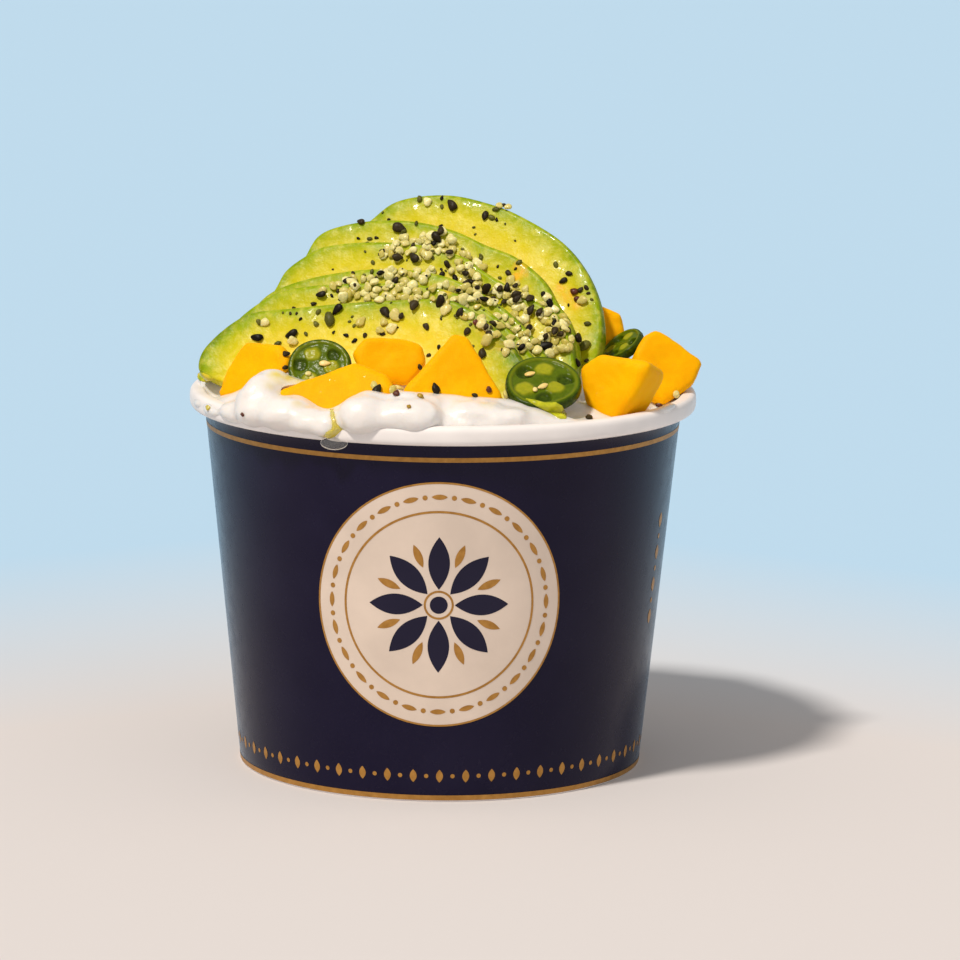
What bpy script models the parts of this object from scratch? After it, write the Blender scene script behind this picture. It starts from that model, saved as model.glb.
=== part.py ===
"""Frozen yogurt cup: a rolled-rim paper cup heaped with yogurt, a fan of avocado
slices, mango chunks, jalapeno rings and seeds. All lengths below are millimetres
(turned into metres when a mesh is made). +Z is up, the cup stands on Z = 0 and
its front, with the low end of the fan, faces -Y."""

import math
import random

import bmesh
import bpy
from mathutils import Matrix, Vector
from mathutils.bvhtree import BVHTree

MM = 0.001
GAP = 0.3
SPECK = 0.02
FLAT = 2.5

# The cup
BASE_RADIUS = 44.4
WALL_SLOPE = 7.8 / 76.6
WALL = 0.5
SKIRT = 1.0
RECESS = 5.6
BOTTOM = 0.5
RIM_RADIUS = 55.8
RIM_WIDTH = 3.6
RIM_HEIGHT = 4.2
CUP_HEIGHT = 83.4
CUP_STEPS = 56
RIM_ROUNDNESS = 3.0

# The yogurt
CROWN = 95.0
APEX_Y = 12.0
DOME_POWER = 3.0
YOGURT_STEPS = 68
HEART = Vector((0.0, 0.0, 60.0))
BRIM_LOW = 76.0

# Lobes of the yogurt: a point on the surface, half width round the cup, half
# height, how far it swells out, and how steep its edge is.
LOBES = (
    ((-47.5, -25.0, 84.0), 9.5, 5.0, 2.2, 0.9),
    ((-34.0, -38.5, 87.0), 8.6, 9.2, 8.2, 0.6),
    ((-25.5, -46.5, 84.5), 5.4, 7.0, 6.4, 0.7),
    ((-17.0, -49.5, 85.5), 6.8, 7.6, 7.6, 0.6),
    ((-6.5, -51.0, 86.0), 7.6, 7.0, 7.2, 0.6),
    ((-9.5, -46.0, 88.5), 6.5, 4.5, 3.2, 0.9),
    ((3.5, -47.0, 88.0), 5.5, 4.5, 2.4, 1.2),
    ((17.5, -47.0, 86.0), 10.0, 5.0, 2.2, 1.2),
    ((49.0, 14.0, 85.0), 12.0, 6.0, 2.6, 1.1),
    ((33.0, 39.0, 86.5), 10.0, 7.5, 4.6, 0.7),
    ((12.0, 49.5, 85.5), 9.0, 7.0, 4.8, 0.6),
    ((-9.0, 49.0, 86.5), 8.5, 7.5, 5.4, 0.6),
    ((-29.0, 41.5, 85.5), 9.5, 6.5, 4.4, 0.7),
    ((-45.0, 24.0, 86.0), 9.5, 6.5, 4.2, 0.8),
    ((-52.0, 2.0, 84.5), 10.0, 5.0, 2.6, 1.0),
)

# The avocado fan: parallel slices, leaning back and turned a little to the left,
# each one set behind and above the one before. Outlines are (across, up) in the
# slice's own plane, measured from FAN_ORIGIN.
FAN_ORIGIN = Vector((-13.0, -20.0, 84.0))
FAN_YAW = -18.0
FAN_LEAN = 30.0
SLICE = 5.0
SLICE_EDGE = 0.5
FAN_OUTLINES = (
    ((-42.6, 3.2), (-44.0, 5.6), (-43.0, 9.6), (-38.5, 15.0), (-33.5, 18.2),
     (-24.6, 19.8), (-11.9, 21.8), (0.0, 23.2), (9.0, 23.9), (14.0, 22.8),
     (19.6, 19.8), (25.7, 15.1), (30.5, 9.8), (36.0, 3.0), (41.0, -3.5),
     (34.0, -6.0), (16.0, -4.0), (-4.0, -3.0), (-26.0, -1.5), (-36.5, 1.0)),
    ((-41.0, 7.0), (-40.0, 15.5), (-37.6, 19.9), (-31.3, 25.0), (-23.4, 27.4),
     (-10.0, 28.8), (2.0, 29.0), (12.0, 27.0), (21.0, 22.0), (29.0, 15.0),
     (34.5, 7.0), (37.0, 0.5), (24.0, -1.0), (6.0, 1.0), (-12.0, 2.0), (-30.0, 2.0)),
    ((-39.5, 14.0), (-38.8, 20.0), (-37.2, 24.1), (-33.8, 27.8), (-27.4, 30.8),
     (-19.6, 33.0), (-10.7, 34.4), (0.0, 34.4), (9.0, 32.4), (18.0, 28.0),
     (26.0, 22.0), (32.0, 15.0), (36.0, 7.0), (24.0, 5.0), (8.0, 8.0),
     (-10.0, 9.0), (-28.0, 8.5)),
    ((-37.5, 21.0), (-36.8, 27.0), (-35.4, 30.9), (-33.8, 35.0), (-29.9, 38.7),
     (-25.8, 41.2), (-16.7, 42.8), (-4.0, 42.9), (6.9, 40.5), (11.4, 37.8),
     (17.5, 34.6), (26.2, 30.5), (31.6, 27.0), (35.6, 19.7), (36.5, 12.0),
     (28.0, 12.0), (12.0, 15.0), (-6.0, 16.0), (-24.0, 15.5)),
    ((-35.0, 30.0), (-33.3, 36.0), (-31.9, 40.9), (-30.0, 45.6), (-26.0, 48.2),
     (-18.2, 50.2), (-8.0, 50.6), (1.7, 48.9), (9.8, 45.8), (17.1, 43.3),
     (24.2, 38.4), (28.5, 32.8), (32.0, 28.6), (35.0, 21.5), (34.5, 15.5),
     (26.0, 19.0), (12.0, 23.0), (-4.0, 25.0), (-20.0, 24.5), (-29.0, 25.0)),
    ((-28.0, 39.0), (-26.5, 46.0), (-20.3, 52.3), (-15.8, 56.8), (-10.0, 58.9),
     (-2.0, 59.6), (6.0, 58.3), (14.0, 55.8), (24.9, 50.1), (32.1, 43.0),
     (36.7, 34.6), (38.4, 26.3), (36.5, 20.5), (28.0, 24.0), (16.0, 30.0),
     (2.0, 33.0), (-12.0, 33.5), (-22.0, 34.5)),
)
OUTLINE_STEPS = 42

# Mango chunks: centre of the front face, yaw, lean, depth, size of the back face
# against the front one, then the corners of the front face (across, up).
CHUNKS = (
    ((-42.3, -19.4, 89.3), -38.0, 22.0, 7.0, 0.8,
     ((-6.8, -1.0), (-3.7, 6.4), (2.5, 6.7), (7.0, 6.2), (10.0, 3.2), (6.5, -5.6), (-7.2, -6.0))),
    ((-21.6, -39.6, 89.3), -12.0, 35.0, 5.5, 0.8,
     ((-14.0, -2.2), (2.0, 6.5), (9.6, 3.2), (11.4, 0.2), (6.5, -3.5), (-2.5, -7.5))),
    ((-11.4, -28.2, 93.9), 4.0, 24.0, 6.5, 0.8,
     ((-8.0, 1.5), (-6.0, 4.2), (4.5, 4.2), (7.2, 2.8), (7.6, -1.0), (4.0, -5.5), (-6.0, -4.5))),
    ((3.1, -40.0, 92.2), 4.0, 25.0, 9.5, 0.7,
     ((-0.4, 9.4), (1.8, 8.8), (4.8, 4.4), (9.4, -5.4), (7.0, -7.5), (-7.0, -7.0), (-11.4, -3.6))),
    ((36.8, -33.2, 88.8), -30.0, 15.0, 11.0, 0.85,
     ((-9.3, 3.8), (-5.5, 6.6), (7.0, 5.8), (5.0, -1.0), (1.0, -7.4), (-2.2, -7.4), (-7.2, -3.8))),
    ((50.1, -6.0, 89.5), 14.0, 20.0, 10.0, 0.8,
     ((-8.0, 3.5), (-5.2, 7.2), (-3.0, 8.2), (7.4, 0.6), (5.4, -3.6), (2.6, -5.4), (-3.0, -8.7), (-8.0, -6.0))),
    ((36.6, 15.0, 94.2), 0.0, 15.0, 11.0, 0.85,
     ((-6.5, 5.0), (-2.0, 5.6), (2.8, 3.8), (3.8, -1.0), (3.6, -6.0), (-6.0, -7.5))),
    ((14.0, 42.0, 90.5), 165.0, 35.0, 10.0, 0.8,
     ((-8.0, -6.0), (-6.5, 6.0), (5.0, 7.0), (9.0, 1.0), (6.0, -6.5))),
    ((-6.0, 41.5, 91.5), 184.0, 28.0, 10.0, 0.75,
     ((-8.0, -6.5), (-7.0, 4.0), (1.0, 8.0), (8.0, -1.0), (7.0, -7.0))),
    ((-27.0, 34.0, 90.5), 214.0, 30.0, 10.0, 0.8,
     ((-8.5, -6.0), (-6.0, 6.0), (4.0, 5.5), (8.5, 0.0), (5.0, -7.0))),
    ((4.0, 33.2, 101.5), 178.0, 50.0, 8.0, 0.8,
     ((-9.0, -4.0), (-5.0, 5.5), (6.0, 5.0), (8.0, -3.0), (1.0, -6.5))),
)
CHUNK_ROUND = 1.5

# Jalapeno rings: centre, yaw, lean, turn in its own plane, radius, thickness.
RINGS = (
    ((21.3, -35.2, 90.4), 0.0, 58.0, 0.0, 8.1, 2.6),
    ((-26.8, -27.4, 92.0), -8.0, 38.0, 35.0, 6.8, 2.2),
    ((39.3, 8.6, 92.2), -65.0, 53.0, 20.0, 5.2, 2.0),
    ((31.5, 38.0, 91.0), 140.0, 50.0, 50.0, 7.4, 2.4),
    ((-40.5, 27.5, 90.5), 235.0, 55.0, 10.0, 6.8, 2.4),
)
RING_STEPS = 24
CHAMBER_INNER = 0.24
CHAMBER_OUTER = 0.7
CHAMBER_SPREAD = 36.0
RING_SEED = (1.5, 0.75, 0.45)
RING_SEED_ANGLES = (160.0, 268.0)

# Seeds: half length, half width, half thickness, and the chance of each kind.
SEED_KINDS = ((1.5, 1.0, 0.75, 0.35), (1.3, 1.05, 0.8, 0.65))
SEED_SUNK = 0.25
SEED_ROOM = 3.1
SEED_CLEAR = 0.4
# Where they fell, seen from the front: across, height on the picture, spread
# across, spread in height, how many.
SPRINKLES = (
    (-6.0, 117.5, 5.0, 6.0, 15),
    (-13.0, 107.0, 11.0, 3.2, 22),
    (8.0, 106.0, 7.0, 5.0, 22),
    (22.0, 100.0, 7.0, 8.0, 26),
    (4.0, 121.5, 9.0, 2.5, 7),
    (-36.0, 95.0, 7.0, 5.0, 8),
    (-20.0, 99.0, 12.0, 4.0, 14),
    (5.0, 99.0, 8.0, 4.0, 10),
)
BACK_SPRINKLES = (
    (0.0, 36.0, 18.0, 7.0, 16),
    (-34.0, 26.0, 6.0, 8.0, 6),
)
VIEW_DROP = 0.217

LOOKS = {
    "cup": ((0.012, 0.010, 0.035), 0.35),
    "yogurt": ((0.86, 0.83, 0.79), 0.35),
    "avocado": ((0.62, 0.66, 0.13), 0.35),
    "mango": ((0.95, 0.50, 0.02), 0.3),
    "jalapeno": ((0.05, 0.16, 0.02), 0.3),
}


def clear_scene():
    for item in list(bpy.data.objects):
        bpy.data.objects.remove(item)


def material(kind):
    name = kind
    if name in bpy.data.materials:
        return bpy.data.materials[name]
    made = bpy.data.materials.new(name)
    made.use_nodes = True
    shader = made.node_tree.nodes["Principled BSDF"]
    colour, roughness = LOOKS[kind]
    shader.inputs["Base Color"].default_value = (*colour, 1.0)
    shader.inputs["Roughness"].default_value = roughness
    return made


def mesh_object(name, points, faces, kind):
    """Makes an object from millimetre points, with its faces turned outwards."""
    mesh = bpy.data.meshes.new(name)
    mesh.from_pydata([Vector(point) * MM for point in points], [], faces)
    work = bmesh.new()
    work.from_mesh(mesh)
    bmesh.ops.recalc_face_normals(work, faces=work.faces)
    bmesh.ops.triangulate(work, faces=[face for face in work.faces if len(face.verts) > 4])
    work.to_mesh(mesh)
    work.free()
    mesh.materials.append(material(kind))
    made = bpy.data.objects.new(name, mesh)
    bpy.context.scene.collection.objects.link(made)
    return made


def apply_boolean(target, tools, operation):
    """Joins or cuts the target with a group of tools, which are then removed."""
    group = bpy.data.collections.new("tools")
    bpy.context.scene.collection.children.link(group)
    for tool in tools:
        bpy.context.scene.collection.objects.unlink(tool)
        group.objects.link(tool)
    step = target.modifiers.new("boolean", "BOOLEAN")
    step.operation = operation
    step.operand_type = "COLLECTION"
    step.collection = group
    step.solver = "MANIFOLD"
    graph = bpy.context.evaluated_depsgraph_get()
    result = bpy.data.meshes.new_from_object(target.evaluated_get(graph))
    target.modifiers.clear()
    target.data = result
    for tool in tools:
        bpy.data.objects.remove(tool)
    bpy.data.collections.remove(group)


def tidy(target):
    """Takes away the specks and needless edges that a cut leaves behind."""
    work = bmesh.new()
    work.from_mesh(target.data)
    bmesh.ops.remove_doubles(work, verts=work.verts, dist=SPECK * MM)
    bmesh.ops.dissolve_degenerate(work, edges=work.edges, dist=SPECK * MM)
    bmesh.ops.dissolve_limit(work, angle_limit=math.radians(FLAT), verts=work.verts, edges=work.edges)
    bmesh.ops.triangulate(work, faces=work.faces)
    bmesh.ops.recalc_face_normals(work, faces=work.faces)
    work.to_mesh(target.data)
    work.free()


def keep_largest(target):
    """Drops loose scraps, keeping the piece with the most vertices."""
    work = bmesh.new()
    work.from_mesh(target.data)
    unseen = set(work.verts)
    pieces = []
    while unseen:
        piece = set()
        edge = [unseen.pop()]
        while edge:
            vertex = edge.pop()
            piece.add(vertex)
            for link in vertex.link_edges:
                other = link.other_vert(vertex)
                if other in unseen:
                    unseen.remove(other)
                    edge.append(other)
        pieces.append(piece)
    pieces.sort(key=len)
    for piece in pieces[:-1]:
        bmesh.ops.delete(work, geom=list(piece), context="VERTS")
    work.to_mesh(target.data)
    work.free()


def ring_faces(first, second, count):
    return [(first + i, first + (i + 1) % count, second + (i + 1) % count, second + i)
            for i in range(count)]


def revolve(name, profile, steps, kind, closed):
    """Turns (radius, height) points about Z. An open profile starts and ends on
    the axis; a closed one is a ring."""
    points = []
    starts = []
    for radius, height in profile:
        starts.append(len(points))
        if radius == 0.0:
            points.append((0.0, 0.0, height))
            continue
        for i in range(steps):
            angle = 2.0 * math.pi * i / steps
            points.append((radius * math.cos(angle), radius * math.sin(angle), height))
    faces = []
    pairs = list(zip(range(len(profile) - 1), range(1, len(profile))))
    if closed:
        pairs.append((len(profile) - 1, 0))
    for here, there in pairs:
        if profile[here][0] == 0.0:
            faces += [(starts[here], starts[there] + (i + 1) % steps, starts[there] + i)
                      for i in range(steps)]
        elif profile[there][0] == 0.0:
            faces += [(starts[there], starts[here] + i, starts[here] + (i + 1) % steps)
                      for i in range(steps)]
        else:
            faces += ring_faces(starts[here], starts[there], steps)
    return mesh_object(name, points, faces, kind)


def wall_radius(height):
    return BASE_RADIUS + WALL_SLOPE * height


def rim_section(grow, degrees):
    """Points round the rolled rim, 0 degrees outwards and 90 up."""
    centre_radius = RIM_RADIUS - RIM_WIDTH / 2.0
    centre_height = CUP_HEIGHT - RIM_HEIGHT / 2.0
    points = []
    for degree in degrees:
        cosine = math.cos(math.radians(degree))
        sine = math.sin(math.radians(degree))
        across = math.copysign(abs(cosine) ** (2.0 / RIM_ROUNDNESS), cosine)
        up = math.copysign(abs(sine) ** (2.0 / RIM_ROUNDNESS), sine)
        points.append((centre_radius + across * (RIM_WIDTH / 2.0 + grow),
                       centre_height + up * (RIM_HEIGHT / 2.0 + grow)))
    return points


def make_cup():
    foot_inner = BASE_RADIUS - WALL - SKIRT
    profile = [(0.0, RECESS), (foot_inner, RECESS), (foot_inner + 0.3, RECESS - 0.4)]
    profile += [(foot_inner, 0.3), (foot_inner + 0.3, 0.0)]
    profile += [(BASE_RADIUS - 0.3, 0.0), (BASE_RADIUS, 0.3)]
    profile += rim_section(0.0, (-125, -95, -65, -40, -15, 15, 40, 65, 95, 120, 145, 172))
    low = RECESS + BOTTOM
    inner = wall_radius(low) - WALL
    profile += [(inner, low + 0.9), (inner - 0.8, low), (0.0, low)]
    return revolve("cup", profile, CUP_STEPS, "cup", False)


def rim_cutter():
    """The room the yogurt must leave round the rim and the top of the wall."""
    depth = 70.0
    profile = [(wall_radius(depth) - WALL - GAP, depth)]
    profile += rim_section(GAP, (172, 145, 120, 95, 65, 40, 15, -15, -40, -65, -95, -125))
    profile += [(wall_radius(depth) + GAP, depth)]
    return revolve("rim_cutter", profile, CUP_STEPS, "cup", True)


def edge_height(angle):
    """Height of the yogurt at the rim: fullest at the left, level at the right."""
    return 83.3 - 0.9 * math.cos(angle)


def lobe_swell(point):
    """How far the lobes push the surface outwards at a point of the plain dome."""
    direction = (point - HEART).normalized()
    swell = 0.0
    for centre, half_width, half_height, rise, steepness in LOBES:
        middle = Vector(centre) - HEART
        axis = middle.normalized()
        around = Vector((0.0, 0.0, 1.0)).cross(axis).normalized()
        upward = axis.cross(around)
        if direction.dot(axis) <= 0.0:
            continue
        offset = direction * (middle.length / direction.dot(axis))
        across = offset.dot(around) / half_width
        height = offset.dot(upward) / half_height
        inside = 1.0 - across * across - height * height
        if inside > 0.0:
            swell = max(swell, rise * inside ** steepness)
    return swell


def yogurt_point(angle, s):
    """A point of the yogurt's skin: s runs from 0 at the crown to 1 at the rim
    and on down the inside of the wall to 2."""
    edge = edge_height(angle)
    if s <= 1.0:
        reach = wall_radius(edge) - WALL - GAP - 0.1
        x = reach * s * math.cos(angle)
        y = APEX_Y * (1.0 - s) + reach * s * math.sin(angle)
        z = edge + (CROWN - edge) * (1.0 - s ** DOME_POWER)
    else:
        z = edge + (BRIM_LOW - edge) * (s - 1.0)
        reach = wall_radius(z) - WALL - GAP - 0.1
        x = reach * math.cos(angle)
        y = reach * math.sin(angle)
    plain = Vector((x, y, z))
    fade = min(1.0, max(0.0, (1.9 - s) / 0.3))
    return plain + (plain - HEART).normalized() * lobe_swell(plain) * fade


def make_yogurt():
    rows = (0.18, 0.36, 0.52, 0.64, 0.73, 0.8, 0.86, 0.91, 0.95, 0.985, 1.1, 1.3, 1.5, 1.7, 2.0)
    points = [yogurt_point(0.0, 0.0)]
    for s in rows:
        for i in range(YOGURT_STEPS):
            points.append(yogurt_point(2.0 * math.pi * i / YOGURT_STEPS, s))
    floor = RECESS + BOTTOM + GAP
    for height, inset in ((floor + 1.2, 0.5), (floor, 1.6)):
        radius = wall_radius(height) - WALL - inset
        for i in range(YOGURT_STEPS):
            angle = 2.0 * math.pi * i / YOGURT_STEPS
            points.append((radius * math.cos(angle), radius * math.sin(angle), height))
    points.append((0.0, 0.0, floor))
    faces = [(0, 1 + i, 1 + (i + 1) % YOGURT_STEPS) for i in range(YOGURT_STEPS)]
    count = len(rows) + 2
    for row in range(count - 1):
        faces += ring_faces(1 + row * YOGURT_STEPS, 1 + (row + 1) * YOGURT_STEPS, YOGURT_STEPS)
    last = 1 + (count - 1) * YOGURT_STEPS
    centre = len(points) - 1
    faces += [(centre, last + (i + 1) % YOGURT_STEPS, last + i) for i in range(YOGURT_STEPS)]
    return mesh_object("yogurt", points, faces, "yogurt")


def leaning_axes(yaw, lean):
    """Across, up and facing directions of a plane that faces -Y at yaw 0 and
    leans back by lean degrees."""
    turn = math.radians(yaw)
    tilt = math.radians(lean)
    level = Vector((math.sin(turn), -math.cos(turn), 0.0))
    across = Vector((math.cos(turn), math.sin(turn), 0.0))
    facing = level * math.cos(tilt) + Vector((0.0, 0.0, math.sin(tilt)))
    upward = Vector((0.0, 0.0, math.cos(tilt))) - level * math.sin(tilt)
    return across, upward, facing


def smooth_loop(corners, steps):
    """A closed curve through the corners, in evenly spaced steps."""
    dense = []
    count = len(corners)
    for i in range(count):
        a, b, c, d = (Vector(corners[(i + k - 1) % count]) for k in range(4))
        for k in range(12):
            t = k / 12.0
            dense.append(0.5 * ((2.0 * b) + (c - a) * t + (2.0 * a - 5.0 * b + 4.0 * c - d) * t * t
                                + (3.0 * b - a - 3.0 * c + d) * t ** 3))
    lengths = [0.0]
    for i in range(len(dense)):
        lengths.append(lengths[-1] + (dense[(i + 1) % len(dense)] - dense[i]).length)
    loop = []
    at = 0
    for k in range(steps):
        target = lengths[-1] * k / steps
        while lengths[at + 1] < target:
            at += 1
        part = (target - lengths[at]) / (lengths[at + 1] - lengths[at])
        loop.append(dense[at].lerp(dense[(at + 1) % len(dense)], part))
    return loop


def inset_loop(loop, distance):
    """Moves each point of a clockwise loop inwards along its normal."""
    moved = []
    for i, point in enumerate(loop):
        along = (loop[(i + 1) % len(loop)] - loop[i - 1]).normalized()
        moved.append(point + Vector((along.y, -along.x)) * distance)
    return moved


def slice_origin(number):
    facing = leaning_axes(FAN_YAW, FAN_LEAN)[2]
    return FAN_ORIGIN - facing * (SLICE + GAP) * number


def make_slice(name, number, grow):
    """One avocado slice: a flat plate with its edges eased. The front one also
    shows its skin as a bevel at both ends."""
    across, upward, facing = leaning_axes(FAN_YAW, FAN_LEAN)
    origin = slice_origin(number)
    loop = smooth_loop(FAN_OUTLINES[number], OUTLINE_STEPS)
    layers = ((grow, SLICE_EDGE), (-SLICE_EDGE, 0.0), (SLICE_EDGE - SLICE, 0.0), (-SLICE - grow, SLICE_EDGE))
    points = []
    for layer, (depth, inset) in enumerate(layers):
        ring = inset_loop(loop, inset - grow)
        for flat in ring:
            if number == 0 and layer == 0:
                ends = max(0.0, -flat.x - 30.0) / 13.0 * 1.6 + max(0.0, flat.x - 8.0) / 30.0 * 3.0
                flat = flat - Vector((math.copysign(ends, flat.x), ends * 0.4))
            points.append(origin + across * flat.x + upward * flat.y + facing * depth)
    faces = [tuple(range(OUTLINE_STEPS)), tuple(range(3 * OUTLINE_STEPS, 4 * OUTLINE_STEPS))]
    for layer in range(3):
        faces += ring_faces(layer * OUTLINE_STEPS, (layer + 1) * OUTLINE_STEPS, OUTLINE_STEPS)
    return mesh_object(name, points, faces, "avocado")


def hull_object(name, points, kind):
    work = bmesh.new()
    for point in points:
        work.verts.new(Vector(point) * MM)
    shell = bmesh.ops.convex_hull(work, input=work.verts)
    spare = [item for item in shell["geom_interior"] if isinstance(item, bmesh.types.BMVert)]
    bmesh.ops.delete(work, geom=spare, context="VERTS")
    bmesh.ops.recalc_face_normals(work, faces=work.faces)
    mesh = bpy.data.meshes.new(name)
    work.to_mesh(mesh)
    work.free()
    mesh.materials.append(material(kind))
    made = bpy.data.objects.new(name, mesh)
    bpy.context.scene.collection.objects.link(made)
    return made


def fan_cutter():
    """The room the yogurt leaves for the whole fan: the hull of the grown slices."""
    points = []
    for number in range(len(FAN_OUTLINES)):
        grown = make_slice("grown", number, GAP)
        points += [vertex.co / MM for vertex in grown.data.vertices]
        bpy.data.objects.remove(grown)
    return hull_object("fan_cutter", points, "avocado")


def ball_points(radius, rings, turns):
    """A small ball as loose points, for rounding corners."""
    points = [Vector((0.0, 0.0, radius)), Vector((0.0, 0.0, -radius))]
    for ring in range(1, rings + 1):
        polar = math.pi * ring / (rings + 1)
        for turn in range(turns):
            angle = 2.0 * math.pi * (turn + 0.5 * (ring % 2)) / turns
            points.append(Vector((radius * math.sin(polar) * math.cos(angle),
                                  radius * math.sin(polar) * math.sin(angle),
                                  radius * math.cos(polar))))
    return points


def make_chunk(name, spec, grow):
    """One mango chunk: the hull of small balls set at its corners."""
    centre, yaw, lean, depth, back, corners = spec
    across, upward, facing = leaning_axes(yaw, lean)
    middle = sum((Vector(corner) for corner in corners), Vector((0.0, 0.0))) / len(corners)
    ball = ball_points(CHUNK_ROUND + grow, 3, 6)
    points = []
    for level, scale in ((-CHUNK_ROUND, 1.0), (CHUNK_ROUND - depth, back)):
        for corner in corners:
            flat = Vector(corner) - middle
            flat = (flat - flat.normalized() * CHUNK_ROUND) * scale + middle
            spot = Vector(centre) + across * flat.x + upward * flat.y + facing * level
            points += [spot + offset for offset in ball]
    return hull_object(name, points, "mango")


def plate_object(name, loops, origin, axes, thick, kind):
    """A plate with straight sides from one closed loop of (across, up) points."""
    across, upward, facing = axes
    count = len(loops)
    points = []
    for level in (0.0, -thick):
        points += [origin + across * flat[0] + upward * flat[1] + facing * level for flat in loops]
    faces = [tuple(range(count)), tuple(range(count, 2 * count))]
    faces += ring_faces(0, count, count)
    return mesh_object(name, points, faces, kind)


def turned_axes(yaw, lean, turn):
    across, upward, facing = leaning_axes(yaw, lean)
    spin = Matrix.Rotation(math.radians(turn), 3, facing)
    return spin @ across, spin @ upward, facing


def ring_disc(name, spec, grow):
    centre, yaw, lean, turn, radius, thick = spec
    axes = turned_axes(yaw, lean, turn)
    outer = []
    edge = 0.35
    for level, shrink in ((grow, edge), (-edge, 0.0), (edge - thick, 0.0), (-thick - grow, edge)):
        for i in range(RING_STEPS):
            angle = 2.0 * math.pi * i / RING_STEPS
            wave = 1.0 + 0.02 * math.cos(3.0 * angle + 0.5)
            reach = (radius + grow - shrink) * wave
            outer.append(Vector(centre) + axes[0] * reach * math.cos(angle)
                         + axes[1] * reach * math.sin(angle) + axes[2] * level)
    faces = [tuple(range(RING_STEPS)), tuple(range(3 * RING_STEPS, 4 * RING_STEPS))]
    for layer in range(3):
        faces += ring_faces(layer * RING_STEPS, (layer + 1) * RING_STEPS, RING_STEPS)
    return mesh_object(name, outer, faces, "jalapeno")


def make_ring(name, spec):
    """One jalapeno ring with its three seed chambers and a few of its own seeds."""
    centre, yaw, lean, turn, radius, thick = spec
    axes = turned_axes(yaw, lean, turn)
    ring = ring_disc(name, spec, 0.0)
    cutters = []
    for chamber in (30.0, 150.0, 270.0):
        loop = []
        for part in range(5):
            angle = math.radians(chamber + CHAMBER_SPREAD * (part / 2.0 - 1.0))
            loop.append((radius * CHAMBER_OUTER * math.cos(angle), radius * CHAMBER_OUTER * math.sin(angle)))
        for part in range(2):
            angle = math.radians(chamber - CHAMBER_SPREAD * (part - 0.5))
            loop.append((radius * CHAMBER_INNER * math.cos(angle), radius * CHAMBER_INNER * math.sin(angle)))
        cutters.append(plate_object("chamber", loop, Vector(centre) + axes[2] * 1.0, axes, thick + 2.0, "jalapeno"))
    apply_boolean(ring, cutters, "DIFFERENCE")
    seeds = []
    for chamber in RING_SEED_ANGLES:
        outward = axes[0] * math.cos(math.radians(chamber)) + axes[1] * math.sin(math.radians(chamber))
        frame = Matrix((outward, axes[2].cross(outward), axes[2])).transposed()
        spot = Vector(centre) + outward * (radius * CHAMBER_INNER + 0.5 * RING_SEED[0])
        seeds.append(make_seed(RING_SEED, spot, frame, "jalapeno"))
    apply_boolean(ring, seeds, "UNION")
    tidy(ring)
    return ring


def lying_frame(normal, spin):
    return normal.to_track_quat("Z", "Y").to_matrix() @ Matrix.Rotation(spin, 3, "Z")


def make_seed(size, spot, frame, kind):
    """A seed: a small faceted ball stretched along the three axes of its frame."""
    work = bmesh.new()
    bmesh.ops.create_icosphere(work, subdivisions=1, radius=1.0)
    stretch = Matrix.Diagonal(Vector(size))
    for vertex in work.verts:
        vertex.co = (spot + frame @ (stretch @ vertex.co)) * MM
    mesh = bpy.data.meshes.new("seed")
    work.to_mesh(mesh)
    work.free()
    mesh.materials.append(material(kind))
    made = bpy.data.objects.new("seed", mesh)
    bpy.context.scene.collection.objects.link(made)
    return made


def surface_tree(item):
    return BVHTree.FromPolygons([tuple(vertex.co) for vertex in item.data.vertices],
                                [tuple(face.vertices) for face in item.data.polygons])


def first_hit(trees, start, direction):
    best = None
    for name, tree in trees.items():
        spot, normal, _, distance = tree.ray_cast(start, direction)
        if spot is not None and (best is None or distance < best[3]):
            best = (name, spot, normal, distance)
    return best


def sprinkle(nodes, rng):
    """Drops seeds from the front and from above the back, and notes for each node
    the seeds that stay clear of every other node."""
    trees = {name: surface_tree(item) for name, item in nodes.items()}
    placed = []
    plans = []
    ahead = Vector((0.0, 1.0, -VIEW_DROP)).normalized()
    for across, height, wide, tall, count in SPRINKLES:
        for _ in range(count):
            x = rng.gauss(across, wide)
            z = rng.gauss(height, tall)
            start = Vector((x, -200.0, z + 200.0 * VIEW_DROP))
            plans.append((start, ahead))
    for across, away, wide, tall, count in BACK_SPRINKLES:
        for _ in range(count):
            start = Vector((rng.gauss(across, wide), rng.gauss(away, tall), 200.0))
            plans.append((start, Vector((0.0, 0.0, -1.0))))
    chosen = {}
    for start, direction in plans:
        hit = first_hit(trees, start * MM, direction)
        draw = rng.random()
        spin = rng.uniform(0.0, math.pi)
        if hit is None or not (hit[0].startswith("avocado") or hit[0] == "yogurt"):
            continue
        name, spot, normal, _ = hit
        size = SEED_KINDS[0][:3] if draw < SEED_KINDS[0][3] else SEED_KINDS[1][:3]
        centre = spot / MM + normal * size[2] * (1.0 - 2.0 * SEED_SUNK)
        if any((centre - other).length < SEED_ROOM for other in placed):
            continue
        room = (size[0] + SEED_CLEAR) * MM
        near = [other for other, tree in trees.items()
                if other != name and tree.find_nearest(centre * MM, room)[0] is not None]
        if near:
            continue
        placed.append(centre)
        chosen.setdefault(name, []).append((size, centre, lying_frame(normal, spin)))
    return chosen


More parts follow.
